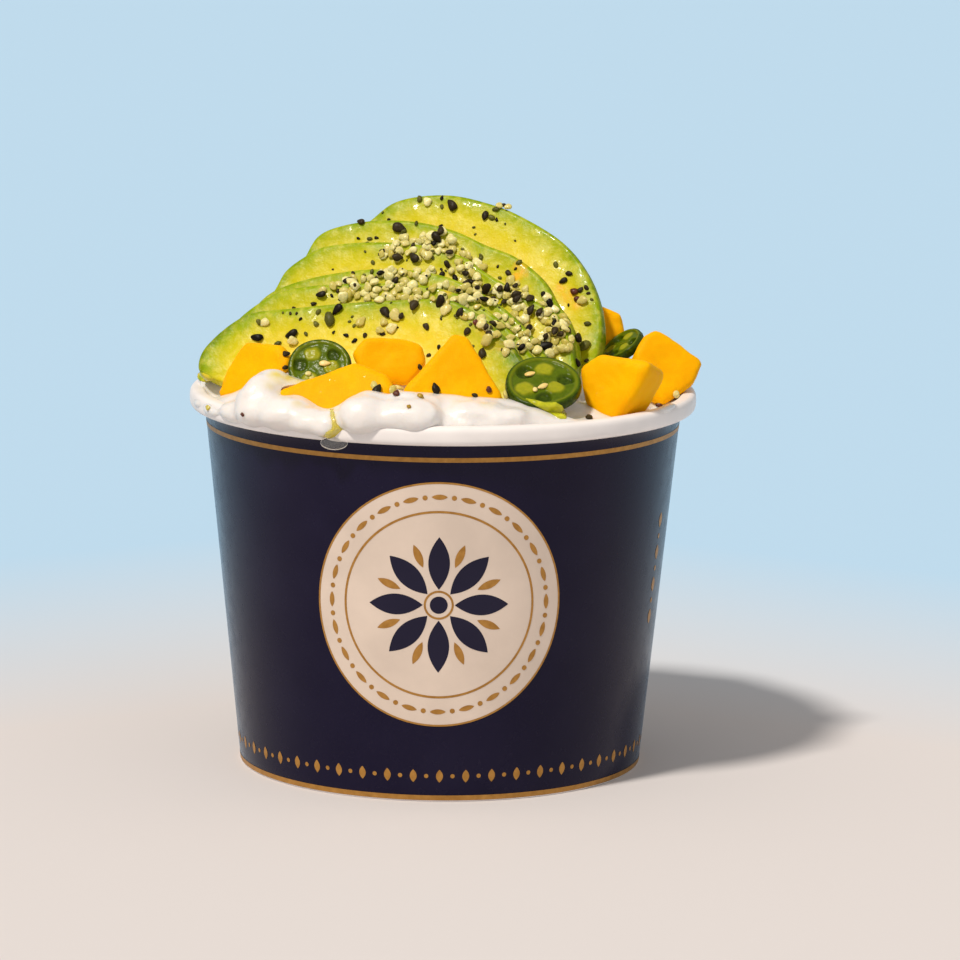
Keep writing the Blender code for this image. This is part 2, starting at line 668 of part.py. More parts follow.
def main():
    clear_scene()
    nodes = {"cup": make_cup()}
    cutters = [rim_cutter(), fan_cutter()]
    for number in range(len(FAN_OUTLINES)):
        name = "avocado_" + str(number + 1)
        nodes[name] = make_slice(name, number, 0.0)
    for number, spec in enumerate(CHUNKS):
        name = "mango_" + str(number + 1)
        nodes[name] = make_chunk(name, spec, 0.0)
        cutters.append(make_chunk("cutter", spec, GAP))
    for number, spec in enumerate(RINGS):
        name = "jalapeno_" + str(number + 1)
        nodes[name] = make_ring(name, spec)
        cutters.append(ring_disc("cutter", spec, GAP))
    yogurt = make_yogurt()
    for cutter in cutters:
        apply_boolean(yogurt, [cutter], "DIFFERENCE")
        tidy(yogurt)
    keep_largest(yogurt)
    nodes["yogurt"] = yogurt
    chosen = sprinkle(nodes, random.Random(7))
    for name, seeds in chosen.items():
        tools = [make_seed(size, spot, frame, name.split("_")[0]) for size, spot, frame in seeds]
        apply_boolean(nodes[name], tools, "UNION")
        tidy(nodes[name])


main()
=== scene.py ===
"""Looks of the frozen yogurt cup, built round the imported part. Lengths are
millimetres, turned into metres when a mesh is made. The cup stands on Z = 0 and
its front faces -Y."""

import math
import random

import bmesh
import bpy
import numpy as np
from mathutils import Matrix, Vector, noise
from mathutils.bvhtree import BVHTree
from mathutils.geometry import delaunay_2d_cdt


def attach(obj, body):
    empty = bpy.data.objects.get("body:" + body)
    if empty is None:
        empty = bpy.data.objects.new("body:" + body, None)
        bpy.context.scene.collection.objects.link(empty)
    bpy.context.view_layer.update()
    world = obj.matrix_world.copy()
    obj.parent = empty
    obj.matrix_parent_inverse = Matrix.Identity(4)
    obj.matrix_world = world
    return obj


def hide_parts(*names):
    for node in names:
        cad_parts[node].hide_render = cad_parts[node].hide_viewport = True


MM = 0.001
PICTURE = 960

# Camera of the photograph: distance, height of what it circles, and its angles.
CAMERA_DISTANCE = 1156.2
CAMERA_TARGET = 38.3
CAMERA_ELEVATION = 11.124
CAMERA_PAN = 0.415
CAMERA_TILT = 1.183
CAMERA_ROLL = 0.544
CAMERA_FOCUS = 5205.0
SENSOR = 36.0

# The cup, as in the part
BASE_RADIUS = 44.4
WALL_SLOPE = 7.8 / 76.6
WALL = 0.5
SKIRT = 1.0
RECESS = 5.6
BOTTOM = 0.5
RIM_RADIUS = 55.8
RIM_WIDTH = 3.6
RIM_HEIGHT = 4.2
CUP_HEIGHT = 83.4
RIM_ROUNDNESS = 3.0
FOOT_EASE = 0.3
CUP_STEPS = 288

# Print on the wall: centre of the round field (distance round from the front,
# height), its radius, its inner ring, its beads, and the small side motif
# (degrees round from +X, height).
BADGE = (-0.5, 44.0)
BADGE_RADIUS = 27.0
BADGE_INNER = 20.5
BEADS = 48
SIDE_PRINT = (-17.9, 46.0)
SIDE_COUNT = 7
SIDE_PITCH = 3.6
# The band of small leaves and dots near the foot.
BAND_HEIGHT = 5.8
BAND_PITCH = 5.6
# Plain lines round the cup: height and width.
GOLD_LINES = ((75.8, 1.0), (0.9, 1.1))
GOLD_STEPS = 240
# The rosette's petals and the small leaves between them: how many, and how far
# out their middles are.
PETALS = 8
PETAL_OUT = 9.2
STAR_OUT = 11.6
# Leaves and dots: length, width and a power, which is one half for a dot.
PETAL = (11.6, 4.6, 1.0)
STAR_LEAF = (5.4, 1.7, 1.0)
BORDER_LEAF = (3.4, 1.15, 0.8)
BORDER_DOT = (1.1, 1.1, 0.5)
BAND_LEAF = (2.9, 1.5, 1.0)
BAND_DOT = (0.95, 0.95, 0.5)
SIDE_LEAF = (3.4, 2.2, 1.0)
SIDE_DOT = (1.2, 1.2, 0.5)
LEAF_SIDES = 16
# How far print stands off the paper, and off the round field.
PRINT_RISE = 0.05
BADGE_RISE = 0.09

# The yogurt, as in the part
GAP = 0.3
CROWN = 95.0
APEX_Y = 12.0
DOME_POWER = 3.0
BRIM = 83.3
BRIM_TILT = 0.9
BRIM_LOW = 76.0
HEART = np.array((0.0, 0.0, 60.0))
# Lobes of the back and sides: centre, half width, half height, rise, steepness.
LOBES = (
    ((49.0, 14.0, 85.0), 12.0, 6.0, 2.6, 1.1),
    ((33.0, 39.0, 86.5), 10.0, 7.5, 4.6, 0.7),
    ((12.0, 49.5, 85.5), 9.0, 7.0, 4.8, 0.7),
    ((-9.0, 49.0, 86.5), 8.5, 7.5, 5.4, 0.7),
    ((-29.0, 41.5, 85.5), 9.5, 6.5, 4.4, 0.7),
    ((-45.0, 24.0, 86.0), 9.5, 6.5, 4.2, 0.8),
    ((-52.0, 2.0, 84.5), 10.0, 5.0, 2.6, 1.0),
)
LOBE_BLEND = 1.4
# What spills over the rim at the front: centre, then half sizes round the cup,
# outwards and upwards.
SPILLS = (
    ((-51.0, -14.5, 81.8), 6.5, 3.6, 2.0), ((-47.6, -23.0, 81.5), 6.5, 4.2, 2.0),
    ((-43.0, -31.0, 82.2), 6.5, 4.6, 2.7),
    ((-38.6, -34.4, 86.4), 5.2, 6.4, 5.0), ((-39.4, -37.2, 83.6), 5.2, 5.0, 3.8),
    ((-33.2, -41.4, 83.6), 6.8, 5.8, 4.0), ((-36.4, -32.8, 89.0), 4.6, 5.2, 3.0),
    ((-28.0, -45.6, 82.8), 4.6, 4.6, 3.0), ((-24.4, -48.6, 82.5), 3.6, 4.0, 2.9),
    ((-16.8, -50.2, 84.9), 5.6, 5.6, 4.4), ((-15.0, -45.4, 86.4), 5.0, 5.2, 3.2),
    ((-11.2, -50.6, 84.7), 4.6, 4.6, 3.5), ((-6.0, -51.1, 84.9), 5.8, 5.4, 4.1),
    ((-7.0, -46.2, 86.8), 6.4, 5.2, 3.0), ((7.0, -46.2, 85.6), 7.6, 4.8, 2.0),
    ((13.0, -47.0, 84.7), 5.6, 4.4, 2.1), ((46.6, -25.4, 83.9), 6.0, 3.2, 2.3),
)
# The cup keeps the yogurt above the rim's lower edge.
SPILL_LOW = 79.7
YOGURT_GRAIN = 0.62
YOGURT_SOFTNESS = 22
# Its unevenness, as depth, size and seed, and the height that it begins at.
RIPPLES = ((0.6, 7.0, 0.0), (0.32, 3.0, 7.0))
RIPPLE_LOW = 81.0
# Where the photograph shows the yogurt meet the fruit, in pixels, and how far
# its surface bends to each of these places.
WATERLINE = (
    (206, 379), (212, 382), (221, 395), (231, 394), (240, 390.5), (281, 393), (297, 402), (310, 408),
    (321, 411), (341, 407), (355, 400), (369, 396), (408, 395), (419, 391), (433, 391), (448, 396),
    (470, 397), (497, 398), (514, 395), (530, 402), (547, 410), (561, 417), (596, 408), (605, 417),
    (616, 420), (626, 416), (640, 414), (662, 399), (672, 396),
)
WATERLINE_REACH = 6.5
WATERLINE_EASE = 0.04
# It stays as it is at every so many points of its edge, and of its back.
RIM_HOLD = 13
BACK_HOLD = 97
BACK_FROM = 6.0
YOGURT_TURNS = 520
# The line above which the photograph shows no yogurt, in pixels, the furthest that
# yogurt is lowered to it, and how widely the lowering eases out.
YOGURT_LINE = (
    (192, 390), (200, 382), (206, 386), (213, 398), (233, 393), (242, 389), (250, 378), (257, 371),
    (273, 368), (290, 373), (304, 381), (330, 376), (350, 370), (370, 374), (388, 381), (395, 388),
    (402, 391), (420, 392), (497, 398), (520, 400), (545, 404), (566, 404), (578, 401), (600, 408),
    (617, 420), (640, 414), (655, 408), (664, 404), (672, 402), (682, 395), (690, 387), (698, 384),
    (708, 379),
)
LINE_DROP = 10.0
LINE_EASING = 60
LINE_PASSES = 3
LINE_SMOOTHING = 10
# It is lowered where it is nearer than LINE_BACK, inside LINE_RADIUS or nearer
# than LINE_SIDE, and above LINE_LOW.
LINE_BACK = 12.0
LINE_SIDE = -3.0
LINE_RADIUS = 49.0
LINE_LOW = 80.0

# The avocado fan, as in the part
FAN_ORIGIN = Vector((-13.0, -20.0, 84.0))
FAN_YAW = -18.0
FAN_LEAN = 30.0
SLICE = 5.0
SLICE_ROUND = 0.75
FAN_OUTLINES = (
    ((-42.6, 3.2), (-44.0, 5.6), (-43.0, 9.6), (-38.5, 15.0), (-33.5, 18.2),
     (-24.6, 19.8), (-11.9, 21.8), (0.0, 23.2), (9.0, 23.9), (14.0, 22.8),
     (19.6, 19.8), (25.7, 15.1), (30.5, 9.8), (36.0, 3.0), (41.0, -3.5),
     (34.0, -6.0), (16.0, -4.0), (-4.0, -3.0), (-26.0, -1.5), (-36.5, 1.0)),
    ((-41.0, 7.0), (-40.0, 15.5), (-37.6, 19.9), (-31.3, 25.0), (-23.4, 27.4),
     (-10.0, 28.8), (2.0, 29.0), (12.0, 27.0), (21.0, 22.0), (29.0, 15.0),
     (34.5, 7.0), (37.0, 0.5), (24.0, -1.0), (6.0, 1.0), (-12.0, 2.0), (-30.0, 2.0)),
    ((-39.5, 14.0), (-38.8, 20.0), (-37.2, 24.1), (-33.8, 27.8), (-27.4, 30.8),
     (-19.6, 33.0), (-10.7, 34.4), (0.0, 34.4), (9.0, 32.4), (18.0, 28.0),
     (26.0, 22.0), (32.0, 15.0), (36.0, 7.0), (24.0, 5.0), (8.0, 8.0),
     (-10.0, 9.0), (-28.0, 8.5)),
    ((-37.5, 21.0), (-36.8, 27.0), (-35.4, 30.9), (-33.8, 35.0), (-29.9, 38.7),
     (-25.8, 41.2), (-16.7, 42.8), (-4.0, 42.9), (6.9, 40.5), (11.4, 37.8),
     (17.5, 34.6), (26.2, 30.5), (31.6, 27.0), (35.6, 19.7), (36.5, 12.0),
     (28.0, 12.0), (12.0, 15.0), (-6.0, 16.0), (-24.0, 15.5)),
    ((-35.0, 30.0), (-33.3, 36.0), (-31.9, 40.9), (-30.0, 45.6), (-26.0, 48.2),
     (-18.2, 50.2), (-8.0, 50.6), (1.7, 48.9), (9.8, 45.8), (17.1, 43.3),
     (24.2, 38.4), (28.5, 32.8), (32.0, 28.6), (35.0, 21.5), (34.5, 15.5),
     (26.0, 19.0), (12.0, 23.0), (-4.0, 25.0), (-20.0, 24.5), (-29.0, 25.0)),
    ((-28.0, 39.0), (-26.5, 46.0), (-20.3, 52.3), (-15.8, 56.8), (-10.0, 58.9),
     (-2.0, 59.6), (6.0, 58.3), (14.0, 55.8), (24.9, 50.1), (32.1, 43.0),
     (36.7, 34.6), (38.4, 26.3), (36.5, 20.5), (28.0, 24.0), (16.0, 30.0),
     (2.0, 33.0), (-12.0, 33.5), (-22.0, 34.5)),
)
OUTLINE_STEPS = 320
FACE_STEP = 0.9
EDGE_INSETS = (0.0, 0.1, 0.25, 0.45, 0.75, 1.15)
SLICE_LEVELS = 5
# An edge is skin where it faces up more than this. The edge swells a little and
# is darker in the middle of its thickness.
SKIN_FACING = -0.35
SKIN_BULGE = 0.22
SKIN_DARKENING = 0.7
# The front slice shows more skin at its ends: side, where that begins, over what
# length, and how fast it grows.
SKIN_ENDS = ((-1.0, 30.0, 13.0, 0.1231), (1.0, 8.0, 33.0, 0.12))

# Unevenness of a slice's face and back, as depth, size and seed.
FACE_RELIEF = ((0.30, 7.0, 0.0), (0.10, 2.0, 0.0))
BACK_RELIEF = ((0.2, 7.0, 3.0),)
# Steps of a curve from one of its corners to the next.
CURVE_STEPS = 40

# The mango chunks are meshed anew from the part's.
CHUNK_COUNT = 11
CHUNK_GRAIN = 0.42
CHUNK_SOFTNESS = 9
# How high the beads of a wet coat stand.
BEAD_DEPTH = 0.3

# How much smaller than the fruit its hollows in the yogurt are, and how far the
# hollow of a chunk reaches above it.
FAN_TIGHT = 0.3
SLICE_TIGHT = 0.4
CHUNK_TIGHT = 0.35
CHUNK_OPEN = 0.8
RING_TIGHT = 0.2
RING_FACE_TIGHT = 0.3

# Jalapeno rings, as in the part: centre, yaw, lean, turn, radius, thickness.
RINGS = (
    ((21.3, -35.2, 90.4), 0.0, 58.0, 0.0, 8.1, 2.6),
    ((-26.8, -27.4, 92.0), -8.0, 38.0, 35.0, 6.8, 2.2),
    ((39.3, 8.6, 92.2), -65.0, 53.0, 20.0, 5.2, 2.0),
    ((31.5, 38.0, 91.0), 140.0, 50.0, 50.0, 7.4, 2.4),
    ((-40.5, 27.5, 90.5), 235.0, 55.0, 10.0, 6.8, 2.4),
)
RING_TURNS = 144
# Pale pulp in a ring, then its seed chambers, which are sunk and given painted
# shade: bearing, distance from the middle and size, as shares of the radius; and
# where the firm wall begins.
PULP_LOBES = ((86.0, 0.50, 0.30), (211.0, 0.56, 0.31), (326.0, 0.40, 0.28))
PULP_HOLLOWS = ((141.0, 0.60, 0.27), (10.0, 0.60, 0.25), (272.0, 0.62, 0.24))
WALL_SHARE = 0.87
# Where a ring's edge begins to round off, as a share of its radius, and by how
# much it does; how lobed its outline is; and the unevenness of its face.
RING_EDGE = 0.93
RING_ROUND = 0.5
RING_LOBES = 0.02
RING_RELIEF = ((0.12, 1.6, 0.0), (0.05, 0.6, 0.0))

# Where the photograph shows its separate seeds: across and down the picture in
# pixels, length in millimetres, and kind.
SEEN_SEEDS = (
    (361, 222.6, 2.2, "dark"), (399.7, 228.7, 3.3, "dark"), (389, 219.5, 0.9, "dark"),
    (416.5, 223.6, 1.4, "olive"), (404, 234, 1.8, "olive"), (376.7, 238, 1.1, "dark"),
    (369.8, 239, 1.4, "olive"), (382.8, 251.6, 1.4, "dark"), (398.9, 259.6, 2.4, "dark"),
    (415, 258.8, 2.8, "dark"), (413, 246, 1.2, "dark"), (373, 262.7, 1.2, "olive"),
    (382, 275, 1.8, "dark"), (372, 272, 1.3, "olive"), (353, 273, 1.1, "dark"),
    (395.8, 282.6, 2.6, "dark"), (350, 283, 2.9, "dark"), (356, 287, 2.4, "cream"),
    (321.6, 295.6, 2.4, "dark"), (332, 296, 1.1, "dark"), (338, 291, 1.1, "dark"),
    (314, 304, 1.4, "dark"), (337.7, 310, 2.9, "dark"), (330, 320, 3.6, "olive"),
    (294, 308, 0.9, "dark"), (290.5, 313.5, 0.9, "dark"), (318.5, 312, 1.5, "olive"),
    (316, 324, 1.5, "olive"), (265, 323, 2.2, "cream"), (259.6, 323, 1.6, "olive"),
    (257, 338, 3.0, "dark"), (291.7, 334.6, 3.0, "dark"), (293.6, 342, 2.4, "cream"),
    (306, 334, 1.2, "olive"), (278, 344, 1.8, "olive"), (286, 354.5, 2.0, "dark"),
    (285, 367.5, 1.4, "dark"), (346, 335.4, 1.4, "dark"), (365, 335.7, 1.3, "dark"),
    (382.8, 334, 1.4, "dark"), (354.5, 341, 1.4, "dark"), (386, 313, 3.0, "dark"),
    (395.8, 316, 3.0, "cream"), (414.5, 306.5, 2.7, "dark"), (361, 322, 2.5, "cream"),
    (380.5, 331, 2.0, "cream"), (392, 328.5, 2.5, "cream"), (384, 322, 2.2, "cream"),
    (419.8, 199.4, 1.8, "olive"), (427.6, 202.4, 2.2, "cream"), (442, 198, 1.2, "dark"),
    (442, 207, 1.2, "olive"), (452.4, 205.5, 3.1, "dark"), (437.8, 239, 3.1, "dark"),
    (485.3, 216.3, 2.3, "dark"), (491.8, 217.8, 1.8, "olive"), (496, 209.6, 1.8, "olive"),
    (500, 203.4, 2.0, "cream"), (506.7, 202.0, 1.9, "dark"), (508, 207.0, 1.8, "cream"),
    (556, 265, 1.6, "olive"), (569.4, 273.9, 1.8, "dark"), (563.3, 281, 2.0, "dark"),
    (574.5, 292, 1.8, "russet"), (580.6, 290, 1.6, "dark"), (586.7, 288, 1.4, "dark"),
    (577.6, 299.4, 1.7, "russet"), (582.7, 301.4, 2.4, "cream"), (587.8, 323.9, 1.7, "olive"),
    (576.5, 338, 3.4, "dark"), (584.7, 346.3, 3.1, "olive"), (576.5, 362.7, 2.2, "dark"),
    (586.7, 360.6, 1.2, "dark"), (508.8, 273.5, 1.8, "dark"), (519, 262.7, 1.6, "olive"),
    (481, 258, 1.6, "olive"), (463, 250, 1.1, "olive"), (469.4, 257.6, 1.9, "cream"),
    (441.8, 275, 1.8, "dark"), (455, 278, 2.0, "dark"), (467, 285, 2.4, "dark"),
    (487.8, 291.2, 2.9, "dark"), (501, 290, 2.0, "dark"), (468.4, 298.4, 2.2, "dark"),
    (460, 292, 1.4, "dark"), (440.8, 302.4, 3.1, "dark"), (460.8, 313, 2.3, "dark"),
    (445.9, 310.6, 2.8, "cream"), (465, 302, 2.9, "cream"), (476.5, 324, 1.6, "russet"),
    (467.3, 332, 2.0, "dark"), (426.5, 327, 1.8, "dark"), (402, 316.7, 1.6, "dark"),
    (492.9, 299.4, 1.8, "dark"), (505, 302.4, 1.9, "dark"), (517.3, 297.3, 2.4, "dark"),
    (529.6, 300.4, 2.6, "dark"), (531.6, 311.6, 2.6, "dark"), (551, 305.5, 2.5, "dark"),
    (543.9, 296.3, 1.8, "dark"), (529.6, 330, 2.4, "dark"), (541.8, 313.7, 2.0, "dark"),
    (555, 324.5, 1.9, "dark"), (568.4, 331, 1.8, "dark"), (546.9, 347.3, 3.4, "dark"),
    (522.4, 349.4, 2.0, "dark"), (490.8, 336.7, 2.3, "dark"), (487.8, 342.2, 3.0, "cream"),
    (482.6, 353.5, 2.4, "dark"), (506, 352.4, 2.2, "cream"), (419.4, 366.7, 1.4, "dark"),
    (428.6, 355.5, 1.2, "dark"), (438.8, 347.3, 1.2, "dark"), (374.4, 386, 2.0, "cream"),
    (377.5, 391.3, 2.8, "dark"), (392, 390, 2.3, "cream"), (399, 389.5, 2.3, "cream"),
    (397, 394.5, 1.8, "russet"), (435.7, 389, 2.6, "dark"), (420, 397, 1.8, "amber"),
    (409, 407, 1.1, "amber"), (474.5, 395.3, 1.4, "dark"), (488.8, 390, 1.5, "russet"),
    (473.9, 428.6, 1.2, "amber"), (588.8, 418.8, 2.2, "dark"), (659, 405.5, 1.8, "russet"),
    (208.5, 408, 1.6, "cream"), (243, 414.5, 1.1, "russet"), (507, 394, 2.3, "cream"),
    (675.5, 394, 1.8, "cream"), (692.9, 386, 1.6, "cream"), (699, 390, 1.8, "amber"),
    (531, 375, 2.7, "pip"), (543, 387, 2.4, "pip"), (535, 390, 1.8, "pip"), (325, 364, 2.4, "pip"),
    (308, 374, 1.4, "cream"), (312, 378, 1.2, "cream"), (198, 373, 1.3, "amber"),
)

# Yellow stains on the yogurt: pixel, radius in millimetres, strength.
STAINS = (
    (279, 376, 3.2, 0.8), (290, 378, 2.8, 0.9), (298, 381, 2.4, 0.9), (270, 384, 2.2, 0.3),
    (281, 393, 1.6, 0.5), (286, 397, 2.0, 0.45), (298, 404, 1.8, 0.45), (308, 407, 1.5, 0.45),
    (487, 404, 2.6, 0.35), (331, 410, 1.3, 0.9), (333, 416, 1.0, 0.9), (334, 422, 1.0, 0.9),
    (336, 428, 1.3, 0.9), (334, 434, 2.2, 0.95), (341, 437, 1.8, 0.8), (327, 437, 1.6, 0.7),
    (345, 431, 1.2, 0.6),
)
# How far from the mango the yogurt is tinged.
STAIN_REACH = 1.6

# Orange mush on the slices, likewise.
FAN_STAINS = (
    (520, 266, 2.0, 0.9), (517, 276, 1.6, 0.9), (524, 273, 1.4, 0.8), (561, 288, 1.8, 0.8),
    (570, 296, 2.4, 0.85), (577, 305, 1.8, 0.7), (486, 330, 2.2, 0.45), (500, 346, 2.0, 0.4),
    (447, 292, 1.6, 0.5), (459, 340, 1.6, 0.35),
)

# Thin films, each with its outline in pixels: juice that ran over the rim, green
# juice under the front ring, and a green smear at the left end of the fan.
JUICE_OUTLINE = (
    (329.5, 409), (334, 409), (335, 416), (337, 423), (342, 428), (348, 432), (351, 437), (347, 440.5),
    (337, 441.5), (328, 440), (323, 436), (326, 432), (331, 429), (332, 423), (330, 416),
)
GREEN_OUTLINE = (
    (524, 398), (534, 399.5), (545, 402.5), (556, 402), (562, 405), (567, 414), (566.5, 419.5), (560, 419.5),
    (552, 415), (541, 409), (531, 403.5),
)
SMEAR_OUTLINE = ((195, 375), (200, 371), (207, 374), (214, 378), (209, 383), (200, 381.5))
FILM_STEP = 0.6
FILM_EDGE = 3.0
# A film is left open where it would jump further than this, and its underside
# lies this deep in the food.
FILM_JUMP = 2.5
FILM_SUNK = 0.25
# The clear drop that hangs under the rim: its middle and half sizes.
DROP = ((-22.9, -50.6, 79.0), (2.9, 0.7, 1.5))

# Where hemp hearts lie thick: a closed line on the picture.
HEAP = (
    (318, 297), (322, 287), (350, 279), (380, 271), (385, 252), (395, 241), (410, 233),
    (430, 229), (448, 233), (458, 250), (478, 262), (500, 277), (530, 287), (556, 300),
    (568, 326), (572, 347), (553, 355), (530, 351), (510, 350), (492, 334), (474, 318),
    (455, 316), (440, 300), (420, 306), (400, 303), (370, 301), (340, 301),
)
# Tries to place one, least distance between two, size of its bare patches and the
# noise value below which they are bare.
HEAP_TRIES = 6000
HEAP_GAP = 5.6
HEAP_PATCH = 16.0
HEAP_BARE = -0.12
# Dark seeds among the hearts of its right part, which begins at a column.
HEAP_DARK = 18
HEAP_DARK_FROM = 425.0
# Shortest and longest of the hearts, of those on top of them, of the dark seeds
# among them, of fine seeds on the fan and of seeds behind it.
HEART_LENGTH = (1.7, 2.7)
TOP_LENGTH = (1.5, 2.1)
DARK_LENGTH = (1.5, 2.4)
FINE_LENGTH = (0.6, 1.1)
BACK_LENGTH = (1.6, 2.8)
# Tries for fine seeds, and where they lie: middle and spread across and down
# the picture.
FINE_SEEDS = 90
FINE_ACROSS = (440.0, 75.0)
FINE_DOWN = (295.0, 38.0)
# Tries for seeds behind, and where they lie: middle and spread in X and Y, and
# the least height.
BACK_SEEDS = 70
BACK_X = (0.0, 20.0)
BACK_Y = (33.0, 9.0)
BACK_LOW = 85.0
# Each kind of seed: width and thickness as shares of its length, how much it
# tapers, and how uneven it is.
SEED_FORMS = {
    "dark": (0.62, 0.42, 0.32, 0.05),
    "olive": (0.66, 0.42, 0.1, 0.05),
    "cream": (0.78, 0.44, 0.16, 0.08),
    "russet": (0.8, 0.6, 0.1, 0.1),
    "amber": (0.8, 0.5, 0.1, 0.2),
    "pip": (0.52, 0.34, 0.2, 0.05),
}
# How deep a seed sinks into what it lies on, as a share of its thickness.
SEED_SUNK = 0.16

# The floor's half size, in metres, and how bright the sky is.
FLOOR_REACH = 6.0
SKY_STRENGTH = 0.48


def add_node(tree, kind, inputs=None, **settings):
    """A shader node; an input is a value, or the socket that feeds it."""
    made = tree.nodes.new(kind)
    for name, value in settings.items():
        setattr(made, name, value)
    for name, value in (inputs or {}).items():
        if isinstance(value, bpy.types.NodeSocket):
            tree.links.new(value, made.inputs[name])
        else:
            made.inputs[name].default_value = value
    return made


def colour_ramp(tree, factor, stops):
    made = add_node(tree, "ShaderNodeValToRGB", {"Fac": factor})
    elements = made.color_ramp.elements
    while len(elements) < len(stops):
        elements.new(0.5)
    for element, (place, colour) in zip(elements, stops):
        element.position = place
        element.color = (*colour, 1.0)
    return made.outputs["Color"]


def mix_colours(tree, factor, first, second):
    """Mixes two colours, each a socket or three numbers."""
    made = add_node(tree, "ShaderNodeMix", data_type="RGBA")
    tree.links.new(factor, made.inputs[0])
    for socket, value in ((made.inputs[6], first), (made.inputs[7], second)):
        if isinstance(value, tuple):
            socket.default_value = (*value, 1.0)
        else:
            tree.links.new(value, socket)
    return made.outputs[2]


def attribute(tree, name):
    return add_node(tree, "ShaderNodeAttribute", attribute_name=name).outputs["Fac"]


def grain(tree, size, detail=3.0):
    """A noise pattern in the part's own frame, of about size millimetres."""
    where = add_node(tree, "ShaderNodeTexCoord").outputs["Object"]
    inputs = {"Vector": where, "Scale": 1.0 / (size * MM), "Detail": detail}
    return add_node(tree, "ShaderNodeTexNoise", inputs).outputs[0]


def bumps(tree, layers):
    """Bump of several patterns, given as (height socket, depth in millimetres)."""
    normal = None
    for height, depth in layers:
        inputs = {"Height": height, "Distance": depth * MM, "Strength": 1.0}
        if normal is not None:
            inputs["Normal"] = normal
        normal = add_node(tree, "ShaderNodeBump", inputs).outputs["Normal"]
    return normal


def spread(tree, value, low, high, new_low=0.0, new_high=1.0):
    """Carries a range of values over to another, and holds what lies outside it."""
    return add_node(tree, "ShaderNodeMapRange", {
        "Value": value, "From Min": low, "From Max": high, "To Min": new_low, "To Max": new_high,
    }).outputs["Result"]


def new_material(name, **values):
    made = bpy.data.materials.new(name)
    made.use_nodes = True
    tree = made.node_tree
    shader = tree.nodes["Principled BSDF"]
    for key, value in values.items():
        socket = shader.inputs[key.replace("_", " ").title().replace("Ior", "IOR")]
        if isinstance(value, tuple) and len(value) == 3 and socket.type == "RGBA":
            value = (*value, 1.0)
        socket.default_value = value
    return made, tree, shader


def dress(tree, shader, colour, layers):
    """Links a colour to a shader, and bumps given as pattern size and depth."""
    tree.links.new(colour, shader.inputs["Base Color"])
    normal = bumps(tree, [(grain(tree, size), depth) for size, depth in layers])
    tree.links.new(normal, shader.inputs["Normal"])


def add_wet_coat(tree, shader, amount, size):
    """A clear coat that comes and goes, in beads of about size millimetres."""
    where = add_node(tree, "ShaderNodeTexCoord").outputs["Object"]
    beads = add_node(tree, "ShaderNodeTexVoronoi", {"Vector": where, "Scale": 1.0 / (size * MM)})
    drops = spread(tree, beads.outputs["Distance"], 0.0, 0.5, 1.0, 0.0)
    tree.links.new(amount, shader.inputs["Coat Weight"])
    tree.links.new(bumps(tree, ((drops, BEAD_DEPTH),)), shader.inputs["Coat Normal"])


def yogurt_material():
    made, tree, shader = new_material("yogurt_look", roughness=0.36, subsurface_weight=0.35,
                                      subsurface_radius=(1.0, 0.8, 0.62), subsurface_scale=2.5 * MM,
                                      coat_weight=0.35, coat_roughness=0.22)
    plain = colour_ramp(tree, grain(tree, 9.0), ((0.3, (0.79, 0.73, 0.68)), (0.7, (0.84, 0.79, 0.745))))
    stained = mix_colours(tree, attribute(tree, "stain"), plain, (0.76, 0.58, 0.01))
    dress(tree, shader, stained, ((3.5, 0.25), (0.8, 0.05)))
    return made


def avocado_material():
    """Flesh that pales with its distance from the skin, mottled, stained and wet."""
    made, tree, shader = new_material("avocado_look", roughness=0.27, subsurface_weight=0.2,
                                      subsurface_radius=(1.0, 0.8, 0.1), subsurface_scale=1.2 * MM,
                                      specular_ior_level=0.05, coat_roughness=0.1)
    wander = spread(tree, grain(tree, 5.0), 0.25, 0.75, -0.9, 0.9)
    depth = add_node(tree, "ShaderNodeMath", {0: attribute(tree, "rind"), 1: wander}, operation="ADD")
    flesh = colour_ramp(tree, spread(tree, depth.outputs[0], -4.0, 16.0), (
        (0.0, (0.045, 0.095, 0.001)), (0.17, (0.15, 0.24, 0.002)), (0.235, (0.27, 0.36, 0.003)),
        (0.33, (0.46, 0.45, 0.004)), (0.48, (0.66, 0.55, 0.010)), (0.72, (0.83, 0.62, 0.04)),
        (1.0, (0.92, 0.72, 0.11))))
    ripe = spread(tree, grain(tree, 1.4), 0.45, 0.75, 0.0, 0.3)
    mottled = mix_colours(tree, ripe, flesh, (0.96, 0.78, 0.16))
    dull = spread(tree, grain(tree, 3.2, 4.0), 0.5, 0.75, 0.0, 0.3)
    bruised = mix_colours(tree, dull, mottled, (0.50, 0.46, 0.01))
    stained = mix_colours(tree, attribute(tree, "stain"), bruised, (0.90, 0.46, 0.02))
    dress(tree, shader, stained, ((2.6, 0.14), (0.5, 0.04)))
    add_wet_coat(tree, shader, spread(tree, grain(tree, 3.0, 2.0), 0.56, 0.70, 0.0, 0.45), 0.7)
    return made


def mango_material():
    made, tree, shader = new_material("mango_look", roughness=0.55, coat_roughness=0.08,
                                      subsurface_weight=0.2, subsurface_radius=(1.0, 0.4, 0.01),
                                      subsurface_scale=1.5 * MM, specular_ior_level=0.05)
    flesh = colour_ramp(tree, grain(tree, 6.0), ((0.3, (0.93, 0.405, 0.0)), (0.7, (0.97, 0.475, 0.0))))
    dress(tree, shader, flesh, ((2.2, 0.10), (0.5, 0.03)))
    add_wet_coat(tree, shader, spread(tree, grain(tree, 1.0), 0.66, 0.76, 0.0, 0.3), 0.8)
    return made


